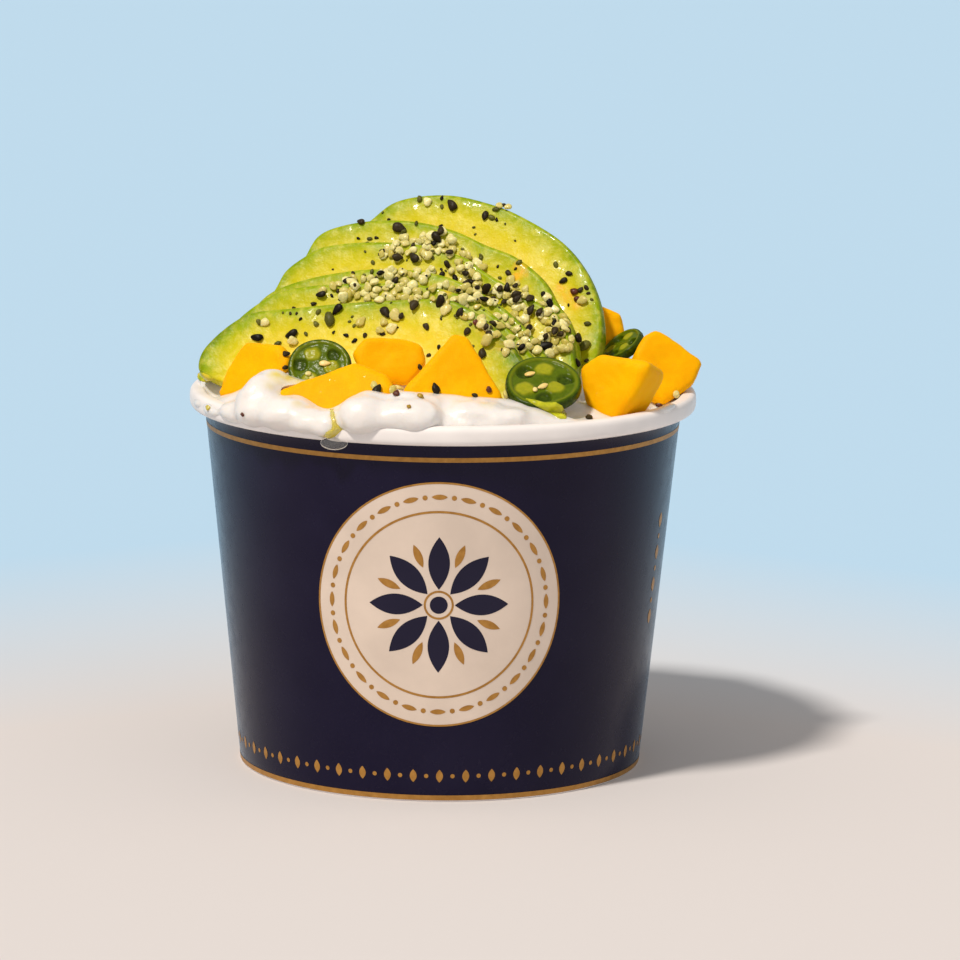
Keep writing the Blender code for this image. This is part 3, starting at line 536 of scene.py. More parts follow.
def jalapeno_material():
    """From dark skin through a green wall to pale pulp; also painted shade in the hollows."""
    made, tree, shader = new_material("jalapeno_look", roughness=0.24, subsurface_weight=0.15,
                                      subsurface_radius=(0.6, 1.0, 0.2), subsurface_scale=1.0 * MM,
                                      specular_ior_level=0.13)
    flesh = colour_ramp(tree, attribute(tree, "pulp"), (
        (0.0, (0.015, 0.035, 0.0005)), (0.15, (0.028, 0.052, 0.0005)), (0.38, (0.075, 0.115, 0.001)),
        (0.6, (0.19, 0.20, 0.003)), (0.85, (0.38, 0.36, 0.012)), (1.0, (0.50, 0.45, 0.03))))
    specks = spread(tree, grain(tree, 0.9), 0.35, 0.75, 0.0, 0.35)
    dress(tree, shader, mix_colours(tree, specks, flesh, (0.13, 0.19, 0.004)), ((1.2, 0.10), (0.4, 0.03)))
    return made


def seed_material(name, colour, dark, roughness, gloss=0.35, clearness=0.15):
    made, tree, shader = new_material(name, roughness=roughness, subsurface_weight=clearness,
                                      subsurface_radius=(1.0, 0.8, 0.4), subsurface_scale=0.6 * MM,
                                      specular_ior_level=gloss)
    tone = colour_ramp(tree, attribute(tree, "tone"), ((0.0, dark), (1.0, colour)))
    mottled = mix_colours(tree, spread(tree, grain(tree, 0.5), 0.3, 0.7, 0.0, 0.5), tone, dark)
    dress(tree, shader, mottled, ((0.4, 0.05),))
    return made


def paper_material(name, colour, roughness, coat=0.0, gloss=0.22, sheen=0.0):
    """Coated paper, with a trace of the board's unevenness."""
    made, tree, shader = new_material(name, coat_weight=coat, coat_roughness=0.16, specular_ior_level=gloss,
                                      sheen_weight=sheen, sheen_roughness=0.25,
                                      sheen_tint=(0.25, 0.58, 0.90))
    light = tuple(min(1.0, part * 1.15 + 0.002) for part in colour)
    tone = colour_ramp(tree, grain(tree, 14.0, 4.0), ((0.35, colour), (0.7, light)))
    dress(tree, shader, tone, ((9.0, 0.03), (0.7, 0.006)))
    rough = spread(tree, grain(tree, 3.0), 0.3, 0.7, roughness - 0.04, roughness + 0.06)
    tree.links.new(rough, shader.inputs["Roughness"])
    return made


def gold_material():
    made, tree, shader = new_material("gold_print", metallic=0.3, roughness=0.42, specular_ior_level=0.3)
    tone = colour_ramp(tree, grain(tree, 1.5), ((0.3, (0.36, 0.165, 0.028)), (0.7, (0.48, 0.235, 0.05))))
    tree.links.new(tone, shader.inputs["Base Color"])
    return made


def juice_material(name, low, high, clearness):
    made, tree, shader = new_material(name, roughness=0.06, transmission_weight=clearness, ior=1.36)
    tone = colour_ramp(tree, grain(tree, 1.6), ((0.35, low), (0.65, high)))
    tree.links.new(tone, shader.inputs["Base Color"])
    return made


def make_mesh(name, points, faces):
    """A mesh from millimetre points."""
    mesh = bpy.data.meshes.new(name)
    mesh.from_pydata([tuple(point) for point in np.asarray(points, float) * MM], [],
                     [tuple(int(i) for i in face) for face in faces])
    return mesh


def make_piece(name, points, faces, materials, slot, face_materials=None, **values):
    """A mesh object that rides on the cup, with its attributes given as one
    value a point."""
    mesh = make_mesh(name, points, faces)
    for look in materials:
        mesh.materials.append(look)
    if face_materials is not None:
        mesh.polygons.foreach_set("material_index", face_materials)
    mesh.polygons.foreach_set("use_smooth", [True] * len(mesh.polygons))
    for key, numbers in values.items():
        mesh.attributes.new(key, "FLOAT", "POINT").data.foreach_set("value", np.asarray(numbers, np.float32))
    mesh.update()
    made = bpy.data.objects.new(name, mesh)
    bpy.context.scene.collection.objects.link(made)
    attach(made, "root")
    return made


def turn_outwards(item):
    work = bmesh.new()
    work.from_mesh(item.data)
    bmesh.ops.recalc_face_normals(work, faces=work.faces)
    work.to_mesh(item.data)
    work.free()


def wall_radius(height):
    return BASE_RADIUS + WALL_SLOPE * height


def evened(mesh, size, rounds):
    """A mesh rebuilt in even faces of a size and softened, and its points and
    normals, in millimetres."""
    work = bpy.data.objects.new("work", mesh)
    bpy.context.scene.collection.objects.link(work)
    even = work.modifiers.new("even", "REMESH")
    even.mode = "VOXEL"
    even.voxel_size = size * MM
    soft = work.modifiers.new("soft", "SMOOTH")
    soft.factor = 0.5
    soft.iterations = rounds
    graph = bpy.context.evaluated_depsgraph_get()
    result = bpy.data.meshes.new_from_object(work.evaluated_get(graph))
    bpy.data.objects.remove(work)
    points = np.array([tuple(vertex.co) for vertex in result.vertices]) / MM
    normals = np.array([tuple(vertex.normal) for vertex in result.vertices])
    return result, points, normals


def grid_faces(rows, steps):
    """Faces between rows of points, where each row is closed and has as many steps."""
    faces = []
    for row in range(rows - 1):
        for i in range(steps):
            j = (i + 1) % steps
            faces.append((row * steps + i, (row + 1) * steps + i, (row + 1) * steps + j, row * steps + j))
    return faces


def rim_section(degrees):
    """Points round the rolled rim, 0 degrees outwards and 90 up."""
    points = []
    for degree in degrees:
        cosine = math.cos(math.radians(degree))
        sine = math.sin(math.radians(degree))
        across = math.copysign(abs(cosine) ** (2.0 / RIM_ROUNDNESS), cosine)
        up = math.copysign(abs(sine) ** (2.0 / RIM_ROUNDNESS), sine)
        points.append((RIM_RADIUS + (across - 1.0) * RIM_WIDTH / 2.0,
                       CUP_HEIGHT + (up - 1.0) * RIM_HEIGHT / 2.0))
    return points


def make_cup(navy, white):
    """The paper cup, turned from one profile: navy outside, white everywhere else."""
    foot = BASE_RADIUS - WALL - SKIRT
    low = RECESS + BOTTOM
    ease = FOOT_EASE
    profile = [(0.0, RECESS), (foot - 0.4, RECESS), (foot, RECESS - 0.4), (foot, ease),
               (foot + 0.4 * ease, 0.27 * ease), (foot + ease, 0.0), (BASE_RADIUS - ease, 0.0),
               (BASE_RADIUS - 0.27 * ease, ease / 3.0), (BASE_RADIUS, ease)]
    wall_from = len(profile) - 1
    profile += [(wall_radius(z), z) for z in np.linspace(3.0, CUP_HEIGHT - RIM_HEIGHT - 0.3, 30)]
    wall_to = len(profile) - 1
    profile += rim_section(np.linspace(-112, 172, 60))
    profile += [(wall_radius(low) - WALL, low + 0.9), (wall_radius(low) - WALL - 0.8, low), (0.0, low)]
    points = []
    for radius, height in profile:
        for i in range(CUP_STEPS):
            angle = 2.0 * math.pi * i / CUP_STEPS
            points.append((radius * math.cos(angle), radius * math.sin(angle), height))
    marks = np.repeat([int(not wall_from <= row < wall_to) for row in range(len(profile) - 1)], CUP_STEPS)
    made = make_piece("cup_body", points, grid_faces(len(profile), CUP_STEPS), (navy, white), "cup", marks)
    work = bmesh.new()
    work.from_mesh(made.data)
    bmesh.ops.remove_doubles(work, verts=work.verts, dist=0.001 * MM)
    bmesh.ops.recalc_face_normals(work, faces=work.faces)
    work.to_mesh(made.data)
    work.free()
    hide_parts("cup")


def on_wall(across, height, proud, around):
    """A point of the cup's wall: a distance round it from a bearing, and a height."""
    radius = wall_radius(height)
    angle = across / radius + around - math.pi / 2.0
    return ((radius + proud) * math.cos(angle), (radius + proud) * math.sin(angle), height)


def badge_spot(out, degrees):
    """A point of the badge, by its distance from the middle and its bearing."""
    turn = math.radians(degrees)
    return BADGE[0] + out * math.cos(turn), BADGE[1] + out * math.sin(turn)


class Print:
    """Flat printed shapes that follow the wall, gathered into one piece. Each is
    laid out round the bearing that is set before it, from 0 at the front."""

    def __init__(self):
        self.points = []
        self.faces = []
        self.around = 0.0

    def add(self, points, faces, proud):
        first = len(self.points)
        self.points += [on_wall(across, height, proud, self.around) for across, height in points]
        self.faces += [tuple(first + i for i in face) for face in faces]

    def ring(self, radii, proud, steps=120):
        """A ring round the badge's middle, in bands from radius to radius."""
        points = [badge_spot(radius, 360.0 * i / steps) for radius in radii for i in range(steps)]
        self.add(points, grid_faces(len(radii), steps), proud)

    def leaf(self, centre, form, turn, proud):
        """A leaf or dot of a form, pointing along turn degrees."""
        length, width, power = form
        cosine = math.cos(math.radians(turn))
        sine = math.sin(math.radians(turn))
        points = []
        for i in range(LEAF_SIDES + 1):
            share = i / LEAF_SIDES
            along = length * (share - 0.5)
            reach = width / 2.0 * (4.0 * share * (1.0 - share)) ** power
            for aside in (reach, reach / 2.0, 0.0, -reach / 2.0, -reach):
                points.append((centre[0] + along * cosine - aside * sine,
                               centre[1] + along * sine + aside * cosine))
        faces = []
        for i in range(LEAF_SIDES):
            for k in range(4):
                faces.append((5 * i + k, 5 * i + 5 + k, 5 * i + 6 + k, 5 * i + 1 + k))
        self.add(points, faces, proud)

    def finish(self, name, look):
        made = make_piece(name, self.points, self.faces, (look,), "cup")
        work = bmesh.new()
        work.from_mesh(made.data)
        bmesh.ops.dissolve_degenerate(work, edges=work.edges, dist=0.002 * MM)
        work.to_mesh(made.data)
        work.free()


def round_line(lines, height, width):
    """A line printed all round the wall."""
    circle = 2.0 * math.pi * wall_radius(height)
    points = []
    for i in range(GOLD_STEPS + 1):
        for level in (height - width / 2.0, height + width / 2.0):
            points.append((circle * i / GOLD_STEPS * wall_radius(level) / wall_radius(height), level))
    lines.add(points, [(2 * i, 2 * i + 2, 2 * i + 3, 2 * i + 1) for i in range(GOLD_STEPS)], PRINT_RISE)


def print_cup(gold, cream, navy):
    """Gold lines, a round cream field with a beaded border and an eight-leaf
    rosette, and a band of leaves: plain shapes where the cup is printed."""
    field = Print()
    field.ring(np.linspace(0.01, BADGE_RADIUS, 20), PRINT_RISE)
    field.finish("cream_field", cream)
    lines = Print()
    for height, width in GOLD_LINES:
        round_line(lines, height, width)
    lines.ring((BADGE_RADIUS - 0.35, BADGE_RADIUS + 0.05), BADGE_RISE)
    lines.ring((BADGE_INNER - 0.25, BADGE_INNER + 0.25), BADGE_RISE)
    for i in range(BEADS):
        turn = 360.0 * i / BEADS
        spot = badge_spot((BADGE_INNER + BADGE_RADIUS) / 2.0, turn)
        if i % 2:
            lines.leaf(spot, BORDER_DOT, turn, BADGE_RISE)
        else:
            lines.leaf(spot, BORDER_LEAF, turn + 90.0, BADGE_RISE)
    motif = Print()
    for i in range(PETALS):
        turn = 360.0 * i / PETALS
        motif.leaf(badge_spot(PETAL_OUT, turn), PETAL, turn, BADGE_RISE)
        turn += 180.0 / PETALS
        lines.leaf(badge_spot(STAR_OUT, turn), STAR_LEAF, turn, BADGE_RISE)
    motif.ring((0.01, 1.0, 1.9), BADGE_RISE, 48)
    motif.finish("navy_rosette", navy)
    lines.ring((2.75, 3.2), BADGE_RISE, 60)
    count = round(2.0 * math.pi * wall_radius(BAND_HEIGHT) / BAND_PITCH)
    for i in range(count):
        lines.around = 2.0 * math.pi * i / count
        lines.leaf((0.0, BAND_HEIGHT), BAND_LEAF, 90.0, PRINT_RISE)
        lines.leaf((BAND_PITCH / 2.0, BAND_HEIGHT), BAND_DOT, 0.0, PRINT_RISE)
    lines.around = math.radians(SIDE_PRINT[0] + 90.0)
    for i in range(SIDE_COUNT):
        level = SIDE_PRINT[1] + SIDE_PITCH * (i - SIDE_COUNT // 2)
        lines.leaf((0.0, level), SIDE_DOT if i % 2 else SIDE_LEAF, 90.0, PRINT_RISE)
    lines.finish("gold_lines", gold)


def hull_piece(points):
    """A closed convex solid round millimetre points, as a working object."""
    work = bmesh.new()
    for point in points:
        work.verts.new(Vector(point) * MM)
    shell = bmesh.ops.convex_hull(work, input=work.verts)
    spare = [item for item in shell["geom_interior"] if isinstance(item, bmesh.types.BMVert)]
    bmesh.ops.delete(work, geom=spare, context="VERTS")
    bmesh.ops.recalc_face_normals(work, faces=work.faces)
    mesh = bpy.data.meshes.new("cutter")
    work.to_mesh(mesh)
    work.free()
    made = bpy.data.objects.new("cutter", mesh)
    bpy.context.scene.collection.objects.link(made)
    return made


def shrunk(points, amount):
    """Points drawn towards their middle, so that their hull is amount smaller."""
    points = np.asarray(points, float)
    middle = points.mean(axis=0)
    away = points - middle
    length = np.linalg.norm(away, axis=1)[:, None]
    return middle + away * (1.0 - amount / np.maximum(length, amount))


def carve(target, cutters):
    """Cuts working objects out of a piece, one after the other."""
    for cutter in cutters:
        step = target.modifiers.new("cut", "BOOLEAN")
        step.operation = "DIFFERENCE"
        step.object = cutter
        step.solver = "MANIFOLD"
        graph = bpy.context.evaluated_depsgraph_get()
        result = bpy.data.meshes.new_from_object(target.evaluated_get(graph))
        target.modifiers.clear()
        target.data = result
        bpy.data.objects.remove(cutter)
    target.data.set_sharp_from_angle(angle=math.radians(50.0))


def smooth_noise(points, size, seed=0.0):
    return np.array([noise.noise(Vector(point) / size + Vector((seed, 0.0, 0.0))) for point in points])


def relief(points, layers):
    """Unevenness at points, in layers given as depth, size and seed."""
    return sum(depth * smooth_noise(points, size, seed) for depth, size, seed in layers)


def lobe_swell(points):
    """How far the lobes push the surface outwards, at points of the plain dome."""
    direction = points - HEART
    direction /= np.linalg.norm(direction, axis=1)[:, None]
    swell = np.zeros(len(points))
    for centre, half_width, half_height, rise, steepness in LOBES:
        middle = np.array(centre) - HEART
        length = np.linalg.norm(middle)
        axis = middle / length
        around = np.cross((0.0, 0.0, 1.0), axis)
        around /= np.linalg.norm(around)
        upward = np.cross(axis, around)
        facing = direction @ axis
        offset = direction * (length / np.maximum(facing, 1e-6))[:, None]
        inside = 1.0 - (offset @ around / half_width) ** 2 - (offset @ upward / half_height) ** 2
        lobe = np.where(facing > 0.0, rise * np.clip(inside, 0.0, 1.0) ** steepness, 0.0)
        mix = np.clip(0.5 + 0.5 * (swell - lobe) / LOBE_BLEND, 0.0, 1.0)
        swell = swell * mix + lobe * (1.0 - mix) + LOBE_BLEND * mix * (1.0 - mix)
    return swell - LOBE_BLEND / 4.0


def bend_to(marks, plain, low_rows):
    """How far each point of the plain dome is lifted, so that the surface passes
    through the marks and stays at the rim and under the back."""
    back = (plain[:, 1] > BACK_FROM) & ~low_rows
    fixed = np.vstack((plain[low_rows][::RIM_HOLD], plain[back][::BACK_HOLD]))
    tops = plain[:, 2]
    wanted = []
    for mark in marks:
        nearest = np.argmin(((plain[:, :2] - mark[:2]) ** 2).sum(axis=1))
        wanted.append(mark[2] - tops[nearest])
    centres = np.vstack((np.array(marks)[:, :2], fixed[:, :2]))
    goals = np.concatenate((wanted, np.zeros(len(fixed))))

    def closeness(a, b):
        gaps = ((a[:, None, :] - b[None, :, :]) ** 2).sum(axis=2)
        return np.exp(-gaps / (2.0 * WATERLINE_REACH ** 2))

    square = closeness(centres, centres) + WATERLINE_EASE * np.eye(len(centres))
    return closeness(plain[:, :2], centres) @ np.linalg.solve(square, goals)


def around_mean(values, first, second):
    """The mean over each point's neighbours along the edges."""
    size = len(values)
    count = np.bincount(first, minlength=size) + np.bincount(second, minlength=size)
    total = np.bincount(first, values[second], size) + np.bincount(second, values[first], size)
    return total / np.maximum(count, 1)


def lowered_to_line(points, edges, fruit):
    """Lowers the yogurt that would show above the line, with what lies round it."""
    place, right, up, ahead = (np.array(part) for part in camera_frame())
    away = points - place
    depth = away @ ahead
    across = PICTURE / 2.0 + CAMERA_FOCUS * (away @ right) / depth
    down = PICTURE / 2.0 - CAMERA_FOCUS * (away @ up) / depth
    line = np.array(YOGURT_LINE)
    excess = (np.interp(across, line[:, 0], line[:, 1]) - down) * depth / CAMERA_FOCUS
    radius = np.linalg.norm(points[:, :2], axis=1)
    front = (points[:, 1] < LINE_BACK) & ((radius < LINE_RADIUS) | (points[:, 1] < LINE_SIDE))
    free = front & (points[:, 2] > LINE_LOW)
    needed = np.where(free, np.clip(excess, 0.0, LINE_DROP), 0.0)
    for i in np.nonzero(needed > 0.0)[0]:
        start = Vector(points[i])
        back = (Vector(place) - start).normalized()
        if fruit.ray_cast(start + back * 0.2, back)[0] is not None:
            needed[i] = 0.0
    drop = needed.copy()
    first, second = edges.T
    for _ in range(LINE_EASING):
        drop = np.maximum(needed, around_mean(drop, first, second))
    lowered = points.copy()
    lowered[:, 2] -= drop
    return lowered


def yogurt_dome(fruit):
    """Points and faces of the yogurt without what spills over: a dome with lobes
    at its edge, bent to meet the fruit, on a plug that narrows into the cup."""
    rows = np.concatenate((np.linspace(0.02, 0.72, 26), np.linspace(0.74, 1.0, 22),
                           np.linspace(1.05, 2.0, 14)))
    turn = np.linspace(-1.0, 1.0, YOGURT_TURNS, endpoint=False)
    angles = -math.pi / 2.0 + math.pi * turn * (0.55 + 0.45 * turn * turn)
    s, angle = np.meshgrid(rows, angles, indexing="ij")
    edge = BRIM - BRIM_TILT * np.cos(angle)
    z_low = edge + (BRIM_LOW - edge) * (s - 1.0)
    reach = BASE_RADIUS + WALL_SLOPE * np.where(s <= 1.0, edge, z_low) - WALL - GAP - 0.1
    scale = np.minimum(s, 1.0)
    dome = edge + (CROWN - edge) * (1.0 - scale ** DOME_POWER)
    grid = np.stack((reach * scale * np.cos(angle),
                     APEX_Y * (1.0 - scale) + reach * scale * np.sin(angle),
                     np.where(s <= 1.0, dome, z_low)), axis=-1)
    plain = grid.reshape(-1, 3)
    share = s.reshape(-1)
    outward = plain - HEART
    outward /= np.linalg.norm(outward, axis=1)[:, None]
    fade = np.clip((1.9 - share) / 0.3, 0.0, 1.0)
    skin = plain + outward * (lobe_swell(plain) * fade)[:, None]
    marks = []
    for across, down in WATERLINE:
        spot = fruit.ray_cast(*picture_ray(across, down))[0]
        if spot is not None:
            marks.append(tuple(spot))
    top = share <= 1.0
    skin[top, 2] += bend_to(marks, plain[top], np.abs(share[top] - 1.0) < 1e-6)
    points = list(skin) + [skin[:YOGURT_TURNS].mean(axis=0), (0.0, 0.0, BRIM_LOW)]
    faces = grid_faces(len(rows), YOGURT_TURNS)
    last = (len(rows) - 1) * YOGURT_TURNS
    for i in range(YOGURT_TURNS):
        j = (i + 1) % YOGURT_TURNS
        faces.append((len(skin), i, j))
        faces.append((len(skin) + 1, last + j, last + i))
    return points, faces


def make_yogurt(look, fruit, food):
    """The part's yogurt with a finer skin: it meets the fruit where the
    photograph shows, and soft lobes spill over the rim."""
    points, faces = yogurt_dome(fruit)
    ball, ball_faces = seed_shape(0.0, 4)
    for centre, around, out, up in SPILLS:
        bearing = math.atan2(centre[1], centre[0])
        axes = np.array(((-math.sin(bearing), math.cos(bearing), 0.0),
                         (math.cos(bearing), math.sin(bearing), 0.0), (0.0, 0.0, 1.0)))
        first = len(points)
        points += list(np.array(centre) + (ball * np.array((around, out, up))) @ axes)
        faces += [tuple(first + i for i in face) for face in ball_faces]
    result, points, normals = evened(make_mesh("rough", points, faces), YOGURT_GRAIN, YOGURT_SOFTNESS)
    free = np.clip((points[:, 2] - RIPPLE_LOW) / 2.0, 0.0, 1.0)
    points = points + normals * (relief(points, RIPPLES) * free)[:, None]
    height = points[:, 2]
    spilt = np.linalg.norm(points[:, :2], axis=1) > wall_radius(height) - WALL - 0.05
    lifted = np.maximum(SPILL_LOW + 0.25 * (height - SPILL_LOW), SPILL_LOW - 0.3)
    points[:, 2] = np.where(spilt & (height < SPILL_LOW), lifted, height)
    edges = np.array([tuple(edge.vertices) for edge in result.edges])
    before = points[:, 2].copy()
    for _ in range(LINE_PASSES):
        points = lowered_to_line(points, edges, food)
    softened = 0.5 * np.clip(before - points[:, 2], 0.0, 1.0)
    for _ in range(LINE_SMOOTHING):
        for axis in range(3):
            smooth = around_mean(points[:, axis], *edges.T)
            points[:, axis] += softened * (smooth - points[:, axis])
    faces = [tuple(face.vertices) for face in result.polygons]
    made = make_piece("yogurt_heap", points, faces, (look,), "yogurt", stain=np.zeros(len(points)))
    turn_outwards(made)
    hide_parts("yogurt")
    return made


def leaning_axes(yaw, lean):
    """Across, up and facing directions of a plane that faces -Y at yaw 0."""
    turn = math.radians(yaw)
    tilt = math.radians(lean)
    level = Vector((math.sin(turn), -math.cos(turn), 0.0))
    across = Vector((math.cos(turn), math.sin(turn), 0.0))
    facing = level * math.cos(tilt) + Vector((0.0, 0.0, math.sin(tilt)))
    upward = Vector((0.0, 0.0, math.cos(tilt))) - level * math.sin(tilt)
    return across, upward, facing


def smooth_loop(corners, steps):
    """A closed curve through the corners, in evenly spaced steps."""
    dense = []
    count = len(corners)
    for i in range(count):
        a, b, c, d = (Vector(corners[(i + k - 1) % count]) for k in range(4))
        for k in range(CURVE_STEPS):
            t = k / CURVE_STEPS
            dense.append(0.5 * ((2.0 * b) + (c - a) * t + (2.0 * a - 5.0 * b + 4.0 * c - d) * t * t
                                + (3.0 * b - a - 3.0 * c + d) * t ** 3))
    dense = np.array([tuple(point) for point in dense])
    closed = np.vstack((dense, dense[:1]))
    lengths = np.concatenate(([0.0], np.cumsum(np.linalg.norm(np.diff(closed, axis=0), axis=1))))
    wanted = np.arange(steps) * lengths[-1] / steps
    return np.column_stack([np.interp(wanted, lengths, closed[:, axis]) for axis in (0, 1)])


def loop_normals(loop):
    along = np.roll(loop, -1, axis=0) - np.roll(loop, 1, axis=0)
    along /= np.linalg.norm(along, axis=1)[:, None]
    return np.stack((-along[:, 1], along[:, 0]), axis=1)


def inside_loop(points, loop):
    ahead = np.roll(loop, -1, axis=0)
    crossed = np.zeros(len(points), bool)
    for (x0, y0), (x1, y1) in zip(loop, ahead):
        spans = (y0 > points[:, 1]) != (y1 > points[:, 1])
        if y0 != y1:
            crossed ^= spans & (points[:, 0] < (x1 - x0) * (points[:, 1] - y0) / (y1 - y0) + x0)
    return crossed


def loop_distance(points, loop, allowed=None):
    """Distance from points to the segments of a closed loop."""
    start = loop
    step = np.roll(loop, -1, axis=0) - loop
    if allowed is not None:
        start = start[allowed]
        step = step[allowed]
    nearest = np.full(len(points), 1e9)
    squares = np.maximum((step ** 2).sum(axis=1), 1e-12)
    for origin, way, square in zip(start, step, squares):
        share = np.clip(((points - origin) @ way) / square, 0.0, 1.0)
        nearest = np.minimum(nearest, np.linalg.norm(points - origin - share[:, None] * way, axis=1))
    return nearest


def face_points(loop, step, insets):
    """The outline, smaller copies of it, and a grid of points inside them."""
    outward = loop_normals(loop)
    rings = [loop - outward * inset for inset in insets]
    low = loop.min(axis=0)
    high = loop.max(axis=0)
    grid = []
    for row, y in enumerate(np.arange(low[1], high[1], step * 0.87)):
        for x in np.arange(low[0] + (row % 2) * step / 2.0, high[0], step):
            grid.append((x, y))
    grid = np.array(grid)
    grid = grid[inside_loop(grid, loop)]
    grid = grid[loop_distance(grid, loop) > insets[-1] + step * 0.5]
    return np.vstack(rings + [grid])


def slice_plane(number):
    """Middle and axes of the plane that a slice's face lies in."""
    across, upward, facing = leaning_axes(FAN_YAW, FAN_LEAN)
    return FAN_ORIGIN - facing * (SLICE + GAP) * number, across, upward, facing


def make_slice(number, look):
    """One avocado slice with eased edges, an uneven cut face, and the distance
    from its skin kept at each point for its colour."""
    origin, *axes = slice_plane(number)
    axes = np.array([tuple(axis) for axis in axes])
    loop = smooth_loop(FAN_OUTLINES[number], OUTLINE_STEPS)
    normals = loop_normals(loop)
    flat = face_points(loop, FACE_STEP, EDGE_INSETS)
    flat, _, triangles, _, _, _ = delaunay_2d_cdt([Vector(point) for point in flat], [],
                                                  [list(range(OUTLINE_STEPS))], 1, 1e-5)
    flat = np.array([tuple(point) for point in flat])
    depth = loop_distance(flat, loop)
    rind = loop_distance(flat, loop, normals[:, 1] > SKIN_FACING)
    if number == 0:
        for side, start, length, rate in SKIN_ENDS:
            rind -= np.clip(side * flat[:, 0] - start, 0.0, length) * rate
    round_off = np.clip(1.0 - depth / SLICE_ROUND, 0.0, 1.0)
    drop = SLICE_ROUND * (1.0 - np.sqrt(1.0 - round_off ** 2))
    spots = [(x, y, 13.0 * number) for x, y in flat]
    fade = np.clip(depth / 2.0, 0.0, 1.0)
    front = -drop + relief(spots, FACE_RELIEF) * fade - 0.15
    back = -SLICE + drop + relief(spots, BACK_RELIEF) * fade + 0.1

    def placed(spots_2d, heights):
        return np.array(tuple(origin)) + np.column_stack((spots_2d, heights)) @ axes

    count = len(flat)
    points = [placed(flat, front), placed(flat, back)]
    rinds = [rind, rind]
    faces = [tuple(face) for face in triangles]
    faces += [tuple(i + count for i in reversed(face)) for face in triangles]
    used = {edge for face in triangles for edge in zip(face, list(face[1:]) + [face[0]])}
    rim = sorted((a, b) for a, b in used if (b, a) not in used)
    corners = sorted({a for a, _ in rim})
    index = {corner: k for k, corner in enumerate(corners)}
    swell = np.array([normals[np.argmin(((loop - flat[corner]) ** 2).sum(axis=1))] for corner in corners])
    layers = [np.array(corners)]
    total = 2 * count
    for level in range(1, SLICE_LEVELS):
        share = level / SLICE_LEVELS
        bulge = math.sin(math.pi * share)
        heights = front[corners] * (1.0 - share) + back[corners] * share
        points.append(placed(flat[corners] + swell * SKIN_BULGE * bulge, heights))
        rinds.append(rind[corners] - SKIN_DARKENING * bulge)
        layers.append(total + np.arange(len(corners)))
        total += len(corners)
    layers.append(layers[0] + count)
    for here, there in zip(layers, layers[1:]):
        for a, b in rim:
            i, j = index[a], index[b]
            faces.append((here[i], there[i], there[j], here[j]))
    made = make_piece("avocado_slice_%d" % (number + 1), np.vstack(points), faces, (look,), "avocado",
                      rind=np.concatenate(rinds), stain=np.zeros(total))
    turn_outwards(made)
    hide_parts("avocado_%d" % (number + 1))
    return made


def make_mango(number, look):
    """A mango chunk: the part's chunk, evenly meshed, softened and a little uneven."""
    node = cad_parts["mango_%d" % number]
    result, points, normals = evened(node.data.copy(), CHUNK_GRAIN, CHUNK_SOFTNESS)
    uneven = relief(points, ((0.35, 5.5, 3.0 * number), (0.10, 1.6, 5.0)))
    points = points + normals * (uneven + 0.12)[:, None]
    faces = [tuple(face.vertices) for face in result.polygons]
    made = make_piece("mango_chunk_%d" % number, points, faces, (look,), "mango")
    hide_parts("mango_%d" % number)
    return made


def carvers():
    """What the fruit takes out of the yogurt: each a hair smaller than the fruit."""
    points = []
    for number, outline in enumerate(FAN_OUTLINES):
        origin, across, upward, facing = slice_plane(number)
        for x, y in smooth_loop(outline, 80):
            for level in (SLICE_TIGHT, SLICE - SLICE_TIGHT):
                points.append(origin + across * x + upward * y - facing * level)
    made = [hull_piece(shrunk(points, FAN_TIGHT))]
    for number in range(CHUNK_COUNT):
        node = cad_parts["mango_%d" % (number + 1)]
        points = shrunk([tuple(vertex.co / MM) for vertex in node.data.vertices], CHUNK_TIGHT)
        made.append(hull_piece(np.vstack((points, points + np.array((0.0, 0.0, CHUNK_OPEN))))))
    for centre, yaw, lean, _, radius, thick in RINGS:
        across, upward, facing = leaning_axes(yaw, lean)
        points = []
        for i in range(48):
            angle = 2.0 * math.pi * i / 48
            outwards = across * math.cos(angle) + upward * math.sin(angle)
            edge = Vector(centre) + outwards * (radius - RING_TIGHT)
            points += [edge - facing * level for level in (RING_FACE_TIGHT, thick - RING_FACE_TIGHT)]
        made.append(hull_piece(points))
    return made


def eased(share):
    """A share from 0 to 1, with soft ends."""
    return share * share * (3.0 - 2.0 * share)


